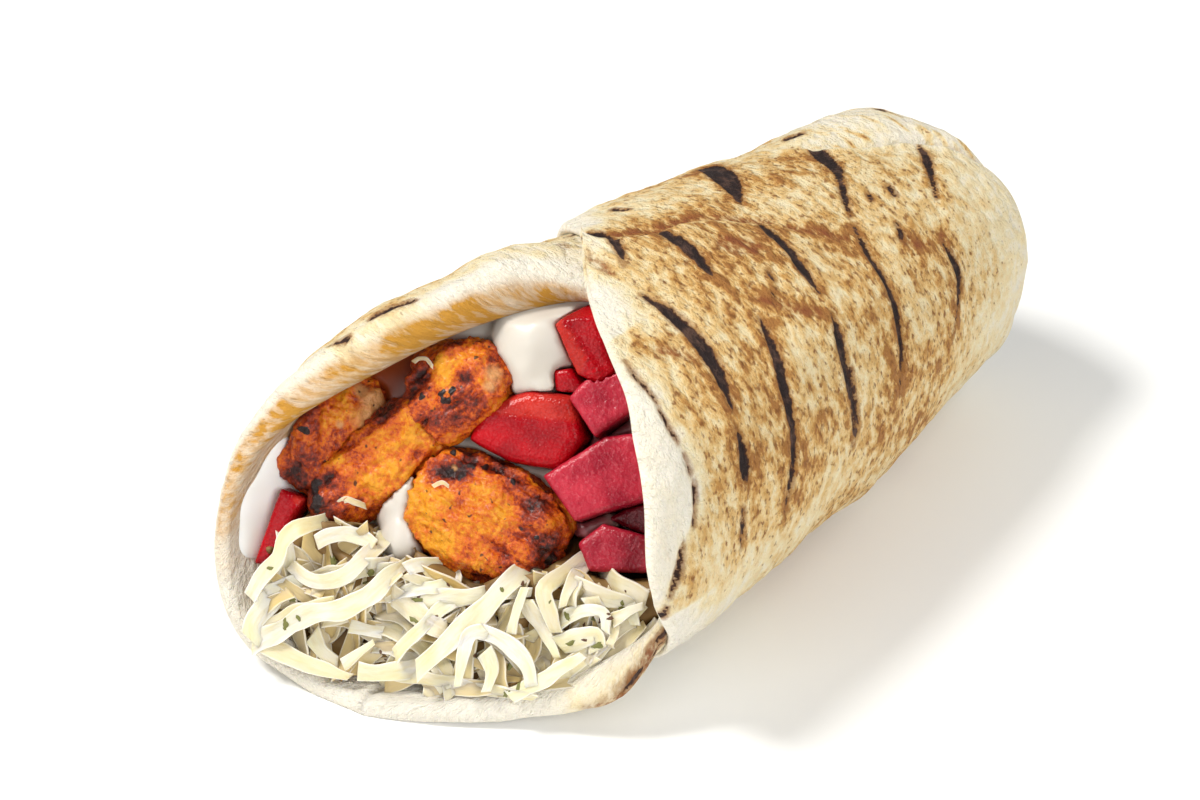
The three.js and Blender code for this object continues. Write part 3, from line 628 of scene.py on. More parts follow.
def place_inner_turn(u, v):
    row = np.rint(v * (INNER_ROWS - 1)).astype(int)
    angle = -180 + 360 * u
    edge = follow(MOUTH_EDGE, angle)
    lip_depth = wall_depth(angle, edge)
    rounding = 0.4 * lip_depth

    # Forwards along the inside, round the lip, back along the outside, over the far end.
    outer_start = INSIDE_ROWS + LIP_ROWS
    cap_start = INNER_ROWS - 1 - CAP_ROWS
    inside_share = share_of(row, 0, INSIDE_ROWS) ** 0.6
    lip_share = share_of(row, INSIDE_ROWS, LIP_ROWS)
    lip_turn = lip_share * math.pi
    outside_share = share_of(row, outer_start, OUTSIDE_ROWS - 1)
    cap_share = share_of(row, cap_start, CAP_ROWS)
    in_lip = (row > INSIDE_ROWS) & (row < outer_start)
    outer = row >= outer_start
    inside_y = mix(INNER_END, edge + rounding, inside_share)
    y = np.where(outer, mix(edge + rounding, ROLL_END, outside_share), inside_y)
    y = np.where(in_lip, edge + rounding * (1 - np.sin(lip_turn)), y)
    across = np.where(outer, 0, np.where(in_lip, 0.5 + 0.5 * np.cos(lip_turn), 1))
    looks = looks_at(angle, y, 1 - across, BACK_MARKS + CREST_SCORCHES, FOLD_STREAKS)

    # The sheet's own length runs on over the lip, so that patterns don't jump there.
    over_lip = lip_share * lip_depth * LIP_STRETCH
    lip_start = edge + rounding - lip_depth * LIP_STRETCH
    inside_length = lip_start + edge + rounding - y
    looks["length"] = np.where(outer, y, np.where(in_lip, lip_start + over_lip, inside_length))

    # Behind the flap the far end puffs up, pale with tan streaks, over a valley with painted shade.
    covered = 1 - smoothstep(flap_distance(angle, y), 0, 2)
    behind = y - follow(FLAP_BACK, np.clip(angle, FLAP_LEFT, FLAP_FOOT))
    at_cap = between(angle, -45, -20, 14, 34) * outer
    valley = bell(behind - 2.2, 2.0) * at_cap
    streaks = smoothstep(grain(flat_place(looks["arc"] / 9, y / 1.3), 1.0, 41), 0.1, 0.5)
    streaks = streaks * at_cap * smoothstep(behind, 2, 6)
    # Painted shade in the valley, carried by the crease number.
    looks["crease"] = np.maximum(looks["crease"], 0.9 * valley)
    looks["toast"] = looks["toast"] * (1 - 0.65 * at_cap) + 0.7 * streaks
    relief = bread_relief(looks["arc"], y, looks["char"], looks["crease"])
    relief = relief * (1 - 0.8 * across) * (1 - covered)
    relief = relief - 2.0 * valley
    relief = relief + 1.3 * at_cap * smoothstep(behind, 4, 11) * (1 - smoothstep(y, 84, 92))
    depth = mix(inner_turn_depth(angle, y), wall_depth(angle, y), across)
    points = roll_point(angle, y, relief - depth)

    # Marinade under the lip, oil at the lower left, and painted shade on the wall at the left of the
    # mouth.
    stain_line = follow(STAIN_LINE, np.clip(angle, -120, 20))
    underside = smoothstep(across, 0.14, 0.45) * (1 - smoothstep(y - edge, 9, 18))
    blotches = grain(flat_place(looks["arc"], looks["length"]), 9, 51, 2)
    underside = underside * (0.7 + 0.5 * smoothstep(blotches, -0.25, 0.3))
    oil = bell(angle + 131, 9) * bell(y + 84, 5) * across
    shade = bell(angle + 84, 9) * bell(y + 38, 12) * across
    looks["stain"] = np.maximum(stain_line * underside, 0.7 * oil)
    # The painted shade is carried by the crease number too.
    looks["crease"] = np.maximum(looks["crease"], 1.6 * shade)

    # Both ends are closed: the outside is tucked in, and the inside runs to a point.
    cap = row > cap_start
    middle = points[row == cap_start].mean(axis=0)
    tucked = points + (middle - points) * cap_share[:, None]
    tucked[:, 1] += 0.9 * np.sin(cap_share * math.pi / 2) - 1.2 * smoothstep(cap_share, 0.6, 1)
    points = np.where(cap[:, None], tucked, points)
    deep = row == 0
    points[deep] = points[deep].mean(axis=0)
    return points, looks


inner_turn = bread_piece("bread_inner_turn", INNER_COLUMNS, INNER_ROWS, place_inner_turn)

# %% [markdown]
# ### Outer turn
# The outer turn lies over the top and comes down the right side as a flap. Its grid runs
# along the skin, round the thin back edge, forwards again underneath and round the front
# edge. The front edge is thin and soft, with a low puffed border behind it.

# %% Outer turn
SKIN_ROWS, EDGE_ROWS, UNDER_ROWS = 150, 10, 24
OUTER_LOOP = SKIN_ROWS + UNDER_ROWS + 2 * EDGE_ROWS
OUTER_COLUMNS = 232


def place_outer_turn(u, v):
    row = np.rint(v * OUTER_LOOP).astype(int) % OUTER_LOOP
    angle = mix(FLAP_LEFT, FLAP_FOOT, u)
    front, back = follow(FLAP_FRONT, angle), follow(FLAP_BACK, angle)
    border = np.minimum(2.2, (back - front) / 4)

    # Along the skin, round the back edge, forwards underneath, round the front edge.
    skin_share = share_of(row, 0, SKIN_ROWS - 1)
    under_start = SKIN_ROWS + EDGE_ROWS
    front_start = under_start + UNDER_ROWS
    back_turn = share_of(row, SKIN_ROWS - 1, EDGE_ROWS + 1) * math.pi
    under_share = share_of(row, under_start, UNDER_ROWS - 1)
    front_turn = share_of(row, front_start - 1, EDGE_ROWS + 1) * math.pi
    on_skin = row < SKIN_ROWS
    at_back = (row >= SKIN_ROWS) & (row < under_start)
    under = (row >= under_start) & (row < front_start)
    at_front = row >= front_start
    y = mix(front + border, back - border, skin_share)
    y = np.where(at_back, back - border * (1 - np.sin(back_turn)), y)
    y = np.where(under, mix(back - border, front + border, under_share), y)
    y = np.where(at_front, front + border * (1 - np.sin(front_turn)), y)
    across = np.where(on_skin, 0, 1.0)
    across = np.where(at_back, 0.5 - 0.5 * np.cos(back_turn), across)
    across = np.where(at_front, 0.5 + 0.5 * np.cos(front_turn), across)
    marks = GRILL_MARKS + BORDER_DASHES + FLAP_SCORCHES
    looks = looks_at(angle, y, 1 - across, marks, RED_STREAKS)
    relief = bread_relief(looks["arc"], y, looks["char"], looks["crease"])

    # A puffed white border with a groove behind it, and a raised ridge at the back edge with a painted
    # highlight.
    line = follow(BORDER_LINE, np.clip(angle, 18, 92))
    beside = (angle > 14) & (angle < 100)
    groove = bell(y - line, 1.3) * between(angle, 12, 30, 90, 102)
    puff = 0.5 * bell(y - (front + line) / 2, np.maximum((line - front) / 2, 2.5)) * beside
    relief = relief - 0.55 * groove + puff
    ridge = bell(back - y, 2.6) * between(angle, -30, -15, 16, 30)
    relief = relief + ridge
    # Less toast along the ridge: a painted highlight.
    looks["toast"] = looks["toast"] * (1 - 0.7 * ridge)

    # The front edge is thinner, and the foot and the far end dive under their neighbours.
    thin = 1 - smoothstep(y - front, 0, 9)
    foot = TUCK * smoothstep(angle, FLAP_FOOT - FOOT_DEGREES, FLAP_FOOT)
    end = 3 * smoothstep(y, 81.5, 86)
    outer_depth = -relief + 0.55 * thin + foot + end
    inner_depth = SHEET - 0.5 * thin + 0.2 * end
    return roll_point(angle, y, -mix(outer_depth, inner_depth, across)), looks


outer_turn = bread_piece("bread_outer_turn", OUTER_COLUMNS, OUTER_LOOP + 1, place_outer_turn)

# %% [markdown]
# ### Pleat
# Behind the flap's tip the bread is pinched into a low pleat. It is a thin wedge: highest
# at its free edge, which throws the short shadow line in the photograph, and running out
# to nothing on the flap.

# %% Pleat
PLEAT_EDGE = [
    # fifths of the way along the free edge, then its angle and y
    (0, -17.5, -15.5), (1, -10, -9.5), (2, -3, -4), (3, 0, 3), (4, 4, 10), (5, 10, 18),
]
PLEAT_HEIGHT, PLEAT_WIDTH = 2.2, 14.0
PLEAT_ROWS, RETURN_ROWS, PLEAT_COLUMNS = 46, 14, 60


def place_pleat(u, v):
    loop = PLEAT_ROWS + RETURN_ROWS
    row = np.rint(v * loop).astype(int) % loop
    returning = share_of(row, PLEAT_ROWS - 1, RETURN_ROWS + 1)
    w = np.where(row < PLEAT_ROWS, share_of(row, 0, PLEAT_ROWS - 1), 1 - returning)
    edge_angle = follow(PLEAT_EDGE, u * 5, 1)
    edge_y = follow(PLEAT_EDGE, u * 5, 2)
    angle = edge_angle + w * PLEAT_WIDTH / MM_PER_DEGREE
    beside = edge_y - w * PLEAT_WIDTH / 2
    y = mix(follow(FLAP_FRONT, angle) + 0.8, beside, smoothstep(u, 0, 0.6))
    looks = looks_at(angle, y, np.ones_like(angle), GRILL_MARKS + FLAP_SCORCHES, RED_STREAKS[2:])
    relief = bread_relief(looks["arc"], y, looks["char"], looks["crease"])
    height = PLEAT_HEIGHT * (1 - 0.9 * u) * (1 - w * w) * smoothstep(w, -0.05, 0.06)
    lift = relief + height - 0.9 * w * w
    lift = np.where(row < PLEAT_ROWS, lift, -SHEET / 2)
    return roll_point(angle, y, lift), looks


pleat = bread_piece("bread_pleat", PLEAT_COLUMNS, PLEAT_ROWS + RETURN_ROWS + 1, place_pleat)

# %% [markdown]
# ## Bread material
# Yeasted flatbread baked quickly: a dry, matte, slightly floury skin. Colour comes in
# layers, as it does in the oven: cream dough, broad golden patches a few centimetres
# across, short tan and brown flecks that run round the roll where bubbles scorched, and
# the black grill burns with a warm halo. The pattern follows the sheet's own map in
# metres, so flecks of 2.6 mm have a noise scale of 1000 / 2.6.

# %% Bread
def flatbread_material():
    material, tree = new_material("toasted_flatbread")
    sheet = add(tree, "UVMap", uv_map="sheet")
    look = {
        name: add(tree, "Attribute", out="Fac", attribute_name=name)
        for name in ("char", "toast", "crease", "stain")
    }

    # Strokes are half as long again round the roll as they are wide.
    strokes = {"Vector": sheet, "Rotation": (0, 0, math.radians(-12)), "Scale": (0.62, 1, 1)}
    drawn_out = add(tree, "Mapping", strokes)
    noises = {}
    for name, along, size_mm, detail, rough in (
        ("patches", sheet, 15, 4, 0.55), ("mottle", drawn_out, 2.6, 5, 0.64),
        ("specks", drawn_out, 1.05, 2, 0.5), ("pores", sheet, 0.45, 2, 0.6),
        ("ragged", sheet, 1.8, 4, 0.6),
    ):
        pattern = {"Vector": along, "Scale": 1000 / size_mm, "Detail": detail, "Roughness": rough}
        noises[name] = add(tree, "TexNoise", pattern, noise_dimensions="2D")
    share = {}
    for name, pattern, *ends in (
        ("patchy", "patches", 0.3, 0.7, 0.38, 0.9), ("broken", "mottle", 0.35, 0.65, 0.38, 1.25),
        ("folded", "mottle", 0.38, 0.62, 0.15, 0.95), ("soaked", "ragged", 0.38, 0.62, 0.65, 1.15),
        ("wander", "ragged", 0.3, 0.7, -0.28, 0.28), ("scuffed", "mottle", 0.5, 0.66, 0, 0.6),
    ):
        share[name] = add(tree, "MapRange", [noises[pattern], *ends])

    # Baking: cream dough, then gold, then tan. The patches set how far it got and the
    # mottle breaks it up into small bubbles and hollows.
    baked = add(tree, "Math", [share["patchy"], look["toast"]], operation="MULTIPLY")
    golden = add(tree, "Math", [baked, share["broken"]], operation="MULTIPLY", use_clamp=True)
    dough = [(0, "#F6EFDF"), (0.2, "#F3E1B5"), (0.5, "#E6C283"), (0.8, "#CE9B54"), (1, "#AB743A")]
    colour = add(tree, "ValToRGB", [golden], stops=dough)

    # Scorched specks, more of them the more golden the bread is.
    often = add(tree, "MapRange", [golden, 0, 0.6, 0.8, 0.54])
    above = add(tree, "Math", [noises["specks"], often], operation="SUBTRACT")
    speck = add(tree, "MapRange", [above, -0.03, 0.16, 0, 0.85])

    # Red-brown where a fold was pressed on the hot grill, plus painted shade carried by the same
    # crease number, and marinade where it soaked in.
    crease = add(tree, "Math", [share["folded"], look["crease"]], operation="MULTIPLY", use_clamp=True)
    stain = add(tree, "Math", [share["soaked"], look["stain"]], operation="MULTIPLY", use_clamp=True)

    # A burn's edge wanders by a quarter of a millimetre. Close round it the bread is
    # brown, and thin burns never get as black as wide ones.
    eaten = add(tree, "Math", [look["char"], share["wander"]], operation="ADD")
    halo = add(tree, "MapRange", [eaten, 0, 1.2, 0.75, 0], interpolation_type="SMOOTHSTEP")
    depth = add(tree, "MapRange", [eaten, 0.1, -0.6])
    black = [(0, "#6E4022"), (0.3, "#452819"), (0.7, "#2C1C18"), (1, "#281A18")]
    scorched = add(tree, "ValToRGB", [depth], stops=black)
    scuffs = {0: share["scuffed"], 6: scorched, 7: linear("#6B4E40")}
    coal = add(tree, "Mix", scuffs, 2, data_type="RGBA")
    burn = add(tree, "MapRange", [eaten, 0.12, -0.08])
    for amount, over in (
        (speck, linear("#855024")), (crease, linear("#8E4E2A")), (stain, linear("#CE9436")),
        (halo, linear("#96622F")), (burn, coal),
    ):
        colour = add(tree, "Mix", {0: amount, 6: colour, 7: over}, 2, data_type="RGBA")

    # Dry skin: wrinkles and pores a few tenths of a millimetre high.
    wrinkles = add(tree, "Math", [noises["pores"], 0.1, noises["mottle"]], operation="MULTIPLY_ADD")
    bump = add(tree, "Bump", {"Height": wrinkles, "Strength": 1, "Distance": 0.003})
    dry_skin = {
        "Base Color": colour, "Roughness": 0.7, "IOR": 1.4, "Specular IOR Level": 0.4,
        "Subsurface Weight": 0.08, "Subsurface Radius": (0.004, 0.003, 0.0015),
        "Subsurface Scale": 0.5, "Normal": bump,
    }
    finish_material(tree, add(tree, "BsdfPrincipled", dry_skin))
    return material


toasted_flatbread = flatbread_material()
for piece in (inner_turn, outer_turn, pleat):
    piece.data.materials.append(toasted_flatbread)
    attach(piece, "root")
    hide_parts("flatbread")

# %% [markdown]
# ## From plain solids to food
# The filling's pieces are plain faceted solids in the model. An even, closed skin of small
# quads is laid over a solid (a voxel remesh), softened a little, and then pushed in and out
# along its normals. So each piece keeps the form and place of its solid, and gets the small
# relief that a knife, a marinade and a grill leave.

# %% The face of the open end
FACE_CENTRE = np.array([-8.0, -61.0, 35.0])
FACE_X = np.array([0.8746, 0.4848, 0.0])  # to the right along the open end
FACE_Y = np.array([-0.2781, 0.5017, 0.8192])  # up its slope
FACE_OUT = np.array([0.3971, -0.7164, 0.5736])  # out of the mouth


def face_point(x, y, out):
    across = np.multiply.outer(x, FACE_X) + np.multiply.outer(y, FACE_Y)
    return FACE_CENTRE + across + np.multiply.outer(out, FACE_OUT)


def in_face(points):
    away = points - FACE_CENTRE
    return away @ FACE_X, away @ FACE_Y, away @ FACE_OUT

# %% Skin over a solid
def skin_over(name, node, voxel_mm, softening):
    bm = bmesh.new()
    bm.from_mesh(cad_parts[node].data)
    bmesh.ops.remove_doubles(bm, verts=bm.verts, dist=1e-6)
    piece = object_of(bm, name)
    quads = piece.modifiers.new("even_quads", "REMESH")
    quads.mode = "VOXEL"
    quads.voxel_size = voxel_mm * MM
    soft = piece.modifiers.new("softened", "SMOOTH")
    soft.factor = 0.5
    soft.iterations = softening
    evaluated = piece.evaluated_get(bpy.context.evaluated_depsgraph_get())
    piece.modifiers.clear()
    piece.data = bpy.data.meshes.new_from_object(evaluated)
    piece.data.name = name
    piece.data.materials.clear()
    for polygon in piece.data.polygons:
        polygon.use_smooth = True
    print("its skin has", len(piece.data.polygons), "faces")
    return piece


def points_and_normals(piece):
    mesh = piece.data
    points = np.empty(3 * len(mesh.vertices))
    normals = np.empty(3 * len(mesh.vertices))
    mesh.vertices.foreach_get("co", points)
    mesh.vertex_normals.foreach_get("vector", normals)
    return to_mm(points.reshape(-1, 3)), normals.reshape(-1, 3)


def set_points(piece, points):
    piece.data.vertices.foreach_set("co", to_scene(points).ravel())
    piece.data.update()


def set_looks(piece, **looks):
    for look, values in looks.items():
        layer = piece.data.attributes.new(look, "FLOAT", "POINT")
        layer.data.foreach_set("value", np.asarray(values, np.float32))


def near_spots(points, spots):
    """1 at the middle of any spot (x, y, z, radius in mm), falling to 0 outside it."""
    most = np.zeros(len(points))
    for *centre, radius in spots:
        far = np.linalg.norm(points - np.array(centre), axis=1)
        most = np.maximum(most, bell(far, radius))
    return most

# %% [markdown]
# ## Chicken
# Shish taouk is chicken breast in a yoghurt, lemon and paprika marinade, grilled on a
# skewer. Its surface is knobbly, with a gritty crust of dried marinade and short muscle
# fibres along the piece. It is golden on the flats, red-brown on the ridges and black at
# a few spots. One piece is torn and shows pale flesh.

# %% Chicken pieces and their spots: x, y, z and radius in mm
CHICKEN = {
    "chicken_1": {
        "grain": (-0.3, 0.5, 0.8), "fuller": [],
        "yellow": [(-33.6, -62.3, 48.4, 3.0), (-31.7, -65.4, 45.4, 3.5)],
        "pale": [
            (-31.5, -58.8, 48.4, 2.0), (-29.3, -58.5, 46.6, 3.0), (-28.6, -61.0, 44.0, 3.0),
            (-30.6, -66.0, 43.8, 0.9)
        ],
        "crust": [(-36.5, -68.9, 45.7, 3.5), (-34.7, -61.0, 36.1, 4.5), (-34.4, -73.7, 33.5, 4.0)],
        "char": [(-35.4, -70.9, 42.7, 1.1), (-32.2, -66.0, 36.2, 1.3), (-38.3, -69.0, 46.2, 0.7)]
    },
    "chicken_2": {
        "grain": (0.45, 0.55, 0.7), "fuller": [(-20.5, -55.5, 47.0, 4.0), (-14.0, -54.0, 45.0, 3.5)],
        "yellow": [
            (-17.2, -50.0, 55.6, 3.6), (-15.6, -47.0, 57.7, 3.0), (-20.2, -60.9, 42.9, 3.6),
            (-18.4, -57.3, 44.4, 3.6), (-19.5, -64.5, 37.9, 3.4), (-20.9, -66.6, 36.3, 3.2),
            (-28.6, -68.7, 37.8, 1.6)
        ],
        "pale": [(-9.5, -44.5, 55.7, 1.8), (-9.0, -46.2, 54.1, 1.3)],
        "crust": [
            (-23.5, -53.9, 53.3, 3.5), (-25.3, -58.9, 45.3, 4.2), (-24.5, -55.5, 49.5, 3.6),
            (-10.8, -49.5, 51.5, 3.0), (-12.6, -48.2, 55.0, 1.8), (-18.0, -46.0, 58.5, 2.4),
            (-8.0, -43.5, 58.0, 2.4), (-30.9, -73.0, 31.5, 4.2), (-27.7, -74.0, 30.8, 4.2),
            (-27.7, -71.7, 34.5, 2.8), (-15.9, -54.9, 46.5, 2.4)
        ],
        "char": [
            (-15.3, -51.9, 52.0, 1.1), (-14.2, -50.8, 52.7, 1.1), (-14.5, -52.1, 50.9, 1.1),
            (-19.0, -53.8, 50.5, 0.9), (-15.9, -54.6, 42.4, 0.8), (-27.7, -74.0, 30.8, 1.6),
            (-30.5, -72.5, 32.5, 1.5), (-25.5, -57.2, 47.2, 1.2)
        ]
    },
    "chicken_3": {
        "grain": (0.8, 0.4, -0.3), "fuller": [],
        "yellow": [
            (-9.5, -63.0, 34.4, 6.0), (-6.5, -60.5, 37.0, 4.5), (-1.5, -57.5, 37.9, 4.0),
            (4.2, -57.0, 35.0, 3.6), (-4.0, -64.5, 29.0, 4.5)
        ],
        "pale": [(-7.9, -56.9, 40.9, 0.7)],
        "crust": [
            (-9.9, -58.7, 39.9, 3.0), (-7.0, -56.2, 40.5, 2.6), (-7.5, -52.9, 41.0, 2.6),
            (-3.7, -48.5, 39.7, 2.6), (2.2, -49.8, 38.7, 2.8), (7.7, -49.9, 36.8, 3.2),
            (12.1, -52.0, 30.0, 3.4), (12.6, -50.5, 25.8, 3.6)
        ],
        "char": [
            (-5.7, -56.9, 40.0, 1.0), (-5.6, -54.2, 40.7, 0.9), (-3.9, -52.6, 40.3, 0.9),
            (-10.5, -54.8, 41.4, 0.8), (11.4, -53.2, 32.0, 0.8), (12.4, -52.0, 27.3, 1.2),
            (-8.0, -57.9, 39.8, 0.7), (2.6, -51.0, 38.2, 0.8)
        ]
    }
}

# %% Relief and looks of a chicken piece
def grilled_chicken(node, spots, seed):
    """Each pattern is noise with bumps of so many mm; the relief adds their heights in mm."""
    piece = skin_over(node + "_grilled", node, 0.42, 6)
    points, normals = points_and_normals(piece)
    along = np.array(spots["grain"])
    along /= np.linalg.norm(along)
    lengthwise = np.multiply.outer(points @ along, along)
    squeezed = points - 0.65 * lengthwise

    # Bumps of 9 mm down to 0.9 mm; squeezed places draw a pattern out along the fibres.
    knobs = grain(points, 9, seed, 2)
    creases = 0.35 - np.abs(grain(squeezed, 5.0, seed + 5))
    small_creases = 0.3 - np.abs(grain(squeezed, 2.2, seed + 7))
    fibres = grain(points - 0.86 * lengthwise, 1.3, seed + 9, 2)
    grit = grain(points, 0.9, seed + 13)

    # Spots of each look, with ragged edges.
    yellow = near_spots(points, spots["yellow"])
    pale = near_spots(points, spots["pale"]) + 0.3 * grain(points, 2.4, seed + 17)
    crust = near_spots(points, spots["crust"]) + 0.35 * grain(points, 3.0, seed + 19)
    char = near_spots(points, spots["char"]) + 0.5 * grain(points, 1.3, seed + 21, 2)
    rough = np.clip(1 - 1.1 * pale, 0, 1)
    sharp_creases = np.minimum(creases, 0.12)

    # Torn, flaky edges, but hardly any where the marinade lies thick and yellow.
    places = [Vector(p) / 4.6 for p in squeezed + seed]
    crags = np.array([noise.ridged_multi_fractal(p, 0.85, 2.1, 4, 1.0, 2.0) for p in places])
    crags = (crags - crags.mean()) * (1 - 0.75 * yellow)
    relief = 1.3 * knobs + 1.6 * sharp_creases + 0.8 * np.minimum(small_creases, 0.1) + 0.95 * crags
    relief += (0.42 * fibres + 0.4 * grit) * rough + 0.5 * char - 0.3 * pale + 0.3
    relief += 3.0 * near_spots(points, spots["fuller"])
    set_points(piece, points + normals * relief[:, None])

    # The colours need to know what is a ridge and what is a crease.
    height = 0.3 * knobs + 0.9 * sharp_creases + 0.5 * small_creases + 0.2 * fibres + 0.5 * crags
    char = char + 0.45 * np.clip(crust - 0.3, 0, 1) * np.clip(-height, 0, 1)
    set_looks(piece, ridge=height, yellow=yellow, pale=pale, crust=crust, char=char)
    return piece

# %% Chicken's crust
def chicken_material():
    material, tree = new_material("grilled_marinated_chicken")
    place = add(tree, "TexCoord", out="Object")
    look = {
        name: add(tree, "Attribute", out="Fac", attribute_name=name)
        for name in ("ridge", "yellow", "pale", "crust", "char")
    }
    noises = {}
    for name, size_mm, detail, rough in (
        ("mottle", 5, 5, 0.7), ("grit", 0.9, 3, 0.65), ("pepper", 1.5, 1, 0.4),
    ):
        pattern = {"Vector": place, "Scale": 1000 / size_mm, "Detail": detail, "Roughness": rough}
        noises[name] = add(tree, "TexNoise", pattern)
    share = {}
    for name, value, *ends in (
        ("mottled", noises["mottle"], 0.35, 0.65, 0.18, 0.6),
        ("gritty", noises["grit"], 0.3, 0.7, -0.24, 0.24),
        ("hollow", look["ridge"], 0.1, -0.7, 0, 0.42),
        ("torn", look["pale"], 0.25, 0.8, 0, 0.85),
        ("burnt", look["char"], 0.46, 0.56),
        ("peppered", noises["pepper"], 0.7, 0.75, 0, 0.85),
        ("shine", noises["mottle"], 0.3, 0.7, 0.48, 0.25),
    ):
        share[name] = add(tree, "MapRange", [value, *ends])

    # How brown a place is: the mottle and grit, more on crust spots and in creases, and
    # less where the marinade stayed yellow.
    brown = add(tree, "Math", [share["mottled"], share["gritty"]], operation="ADD")
    brown = add(tree, "Math", [look["crust"], 0.48, brown], operation="MULTIPLY_ADD")
    brown = add(tree, "Math", [look["yellow"], -0.42, brown], operation="MULTIPLY_ADD")
    brown = add(tree, "Math", [brown, share["hollow"]], operation="ADD", use_clamp=True)
    spices = [
        (0, "#DB921D"), (0.2, "#CF7514"), (0.42, "#C65814"), (0.6, "#9A3513"), (0.78, "#742512"),
        (1, "#34120D"),
    ]
    colour = add(tree, "ValToRGB", [brown], stops=spices)

    # Pale flesh where it is torn, then scattered pepper and char over everything.
    black = add(tree, "Math", [share["burnt"], share["peppered"]], operation="MAXIMUM")
    for amount, over in ((share["torn"], "#C9925C"), (black, "#221312")):
        colour = add(tree, "Mix", {0: amount, 6: colour, 7: linear(over)}, 2, data_type="RGBA")
    bump = add(tree, "Bump", {"Height": noises["grit"], "Strength": 0.7, "Distance": 0.0008})
    oily_crust = {
        "Base Color": colour, "Roughness": share["shine"], "IOR": 1.42, "Specular IOR Level": 0.35,
        "Coat Weight": 0.1, "Coat Roughness": 0.16, "Subsurface Weight": 0.12,
        "Subsurface Radius": (0.004, 0.0018, 0.0008), "Subsurface Scale": 0.4, "Normal": bump,
    }
    finish_material(tree, add(tree, "BsdfPrincipled", oily_crust))
    return material


grilled = chicken_material()
for seed, (node, spots) in enumerate(CHICKEN.items()):
    piece = grilled_chicken(node, spots, 31 + 7 * seed)
    piece.data.materials.append(grilled)
    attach(piece, "root")
    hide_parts(node)

# %% [markdown]
# ## Tomato
# Ripe tomato in wedges: glossy, nearly smooth skin with small droplets on it, and a paler,
# wetter cut face with softer edges.

# %% Tomato pieces and where their cut faces look
TOMATO_CUTS = {
    "tomato_1": [(-9.5 + 1.6 * k, -48.0 + 1.15 * k, 50.4 + 0.2 * k, 2.2 + 0.12 * k) for k in range(11)],
    "tomato_2": [(-1.6, -33.9, 61.8, 3.2), (1.2, -34.2, 59.2, 3.4), (-4.0, -32.5, 63.5, 2.2)],
    "tomato_3": [(-2.0, -34.0, 57.0, 1.6)],
    "tomato_4": [(-32.0, -76.0, 30.5, 1.6)],
}
TOMATO_CREASE = [(-4.2 + 1.2 * k, -32.2, 65.6 - 0.8 * k, 0.7) for k in range(10)]


def cut_tomato(node, cut, seed):
    piece = skin_over(node + "_cut", node, 0.4, 5)
    points, normals = points_and_normals(piece)
    flesh = smoothstep(near_spots(points, cut), 0.25, 0.6)
    crease = near_spots(points, TOMATO_CREASE) if node == "tomato_2" else 0
    wavy = 0.22 * grain(points, 7, seed)
    wet = 0.06 * grain(points, 1.6, seed + 3) * (0.4 + flesh)
    set_points(piece, points + normals * (wavy + wet - 0.1 - 0.15 * flesh + 0.5 * crease)[:, None])
    set_looks(piece, flesh=flesh)
    return piece

# %% Tomato's skin and pulp
def tomato_material():
    material, tree = new_material("ripe_tomato")
    place = add(tree, "TexCoord", out="Object")
    clouds = {"Vector": place, "Scale": 1000 / 6, "Detail": 3, "Roughness": 0.55}
    cloud = add(tree, "TexNoise", clouds)
    skin, pulp = [
        add(tree, "Mix", {0: cloud, 6: linear(dark), 7: linear(light)}, 2, data_type="RGBA")
        for dark, light in (("#64000B", "#CC0A18"), ("#8C0A12", "#D63A2C"))
    ]
    flesh = add(tree, "Attribute", out="Fac", attribute_name="flesh")
    colour = add(tree, "Mix", {0: flesh, 6: skin, 7: pulp}, 2, data_type="RGBA")
    half_mm = {"Vector": place, "Scale": 1000 / 0.5, "Randomness": 1}
    drops = add(tree, "TexVoronoi", half_mm, feature="SMOOTH_F1")
    bump = add(tree, "Bump", {"Height": drops, "Strength": 0.7, "Distance": 0.0003})
    wet_skin = {
        "Base Color": colour, "Roughness": 0.2, "IOR": 1.4, "Specular IOR Level": 0.22,
        "Coat Weight": 0.12, "Coat Roughness": 0.06, "Subsurface Weight": 0.12,
        "Subsurface Radius": (0.004, 0.001, 0.0006), "Subsurface Scale": 0.5, "Normal": bump,
    }
    finish_material(tree, add(tree, "BsdfPrincipled", wet_skin))
    return material


ripe = tomato_material()
for seed, (node, cut) in enumerate(TOMATO_CUTS.items()):
    piece = cut_tomato(node, cut, 61 + 5 * seed)
    piece.data.materials.append(ripe)
    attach(piece, "root")
    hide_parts(node)

# %% [markdown]
# ## Pickled turnip
# Turnip dyed pink in its brine, cut in blocks with a straight knife. The faces are flat
# and finely ribbed by the fibres, the edges crisp, and brine glints on them. The faces that
# catch the light look lighter, and the colour is darkened with painted shade deep in the
# mouth and on the blocks that lie in shade.

# %% Turnip
# Share of painted shade on each turnip; SHADED_TURNIP adds painted shade at a few spots.
DEEP_RED = {"turnip_1": 0, "turnip_2": 0, "turnip_3": 0.25, "turnip_4": 1}  # shares
SHADED_TURNIP = [(27.2, -41.3, 32.4, 3.5), (28.0, -44.0, 30.2, 2.5)]


def cut_turnip(node, seed):
    piece = skin_over(node + "_pickled", node, 0.38, 3)
    points, normals = points_and_normals(piece)
    waves = 0.14 * grain(points, 6, seed)
    ribs = 0.07 * grain(points * (1, 1, 0.3), 1.3, seed + 2) + 0.05 * grain(points, 0.8, seed + 4)
    set_points(piece, points + normals * (waves + ribs)[:, None])
    _, _, out = in_face(points)
    # Painted shade: darker deeper in the mouth, on the turnips listed above and at SHADED_TURNIP.
    deep = 1 - smoothstep(out, -13, -1) + DEEP_RED[node] + near_spots(points, SHADED_TURNIP)
    set_looks(piece, deep=np.clip(deep, 0, 1))
    return piece

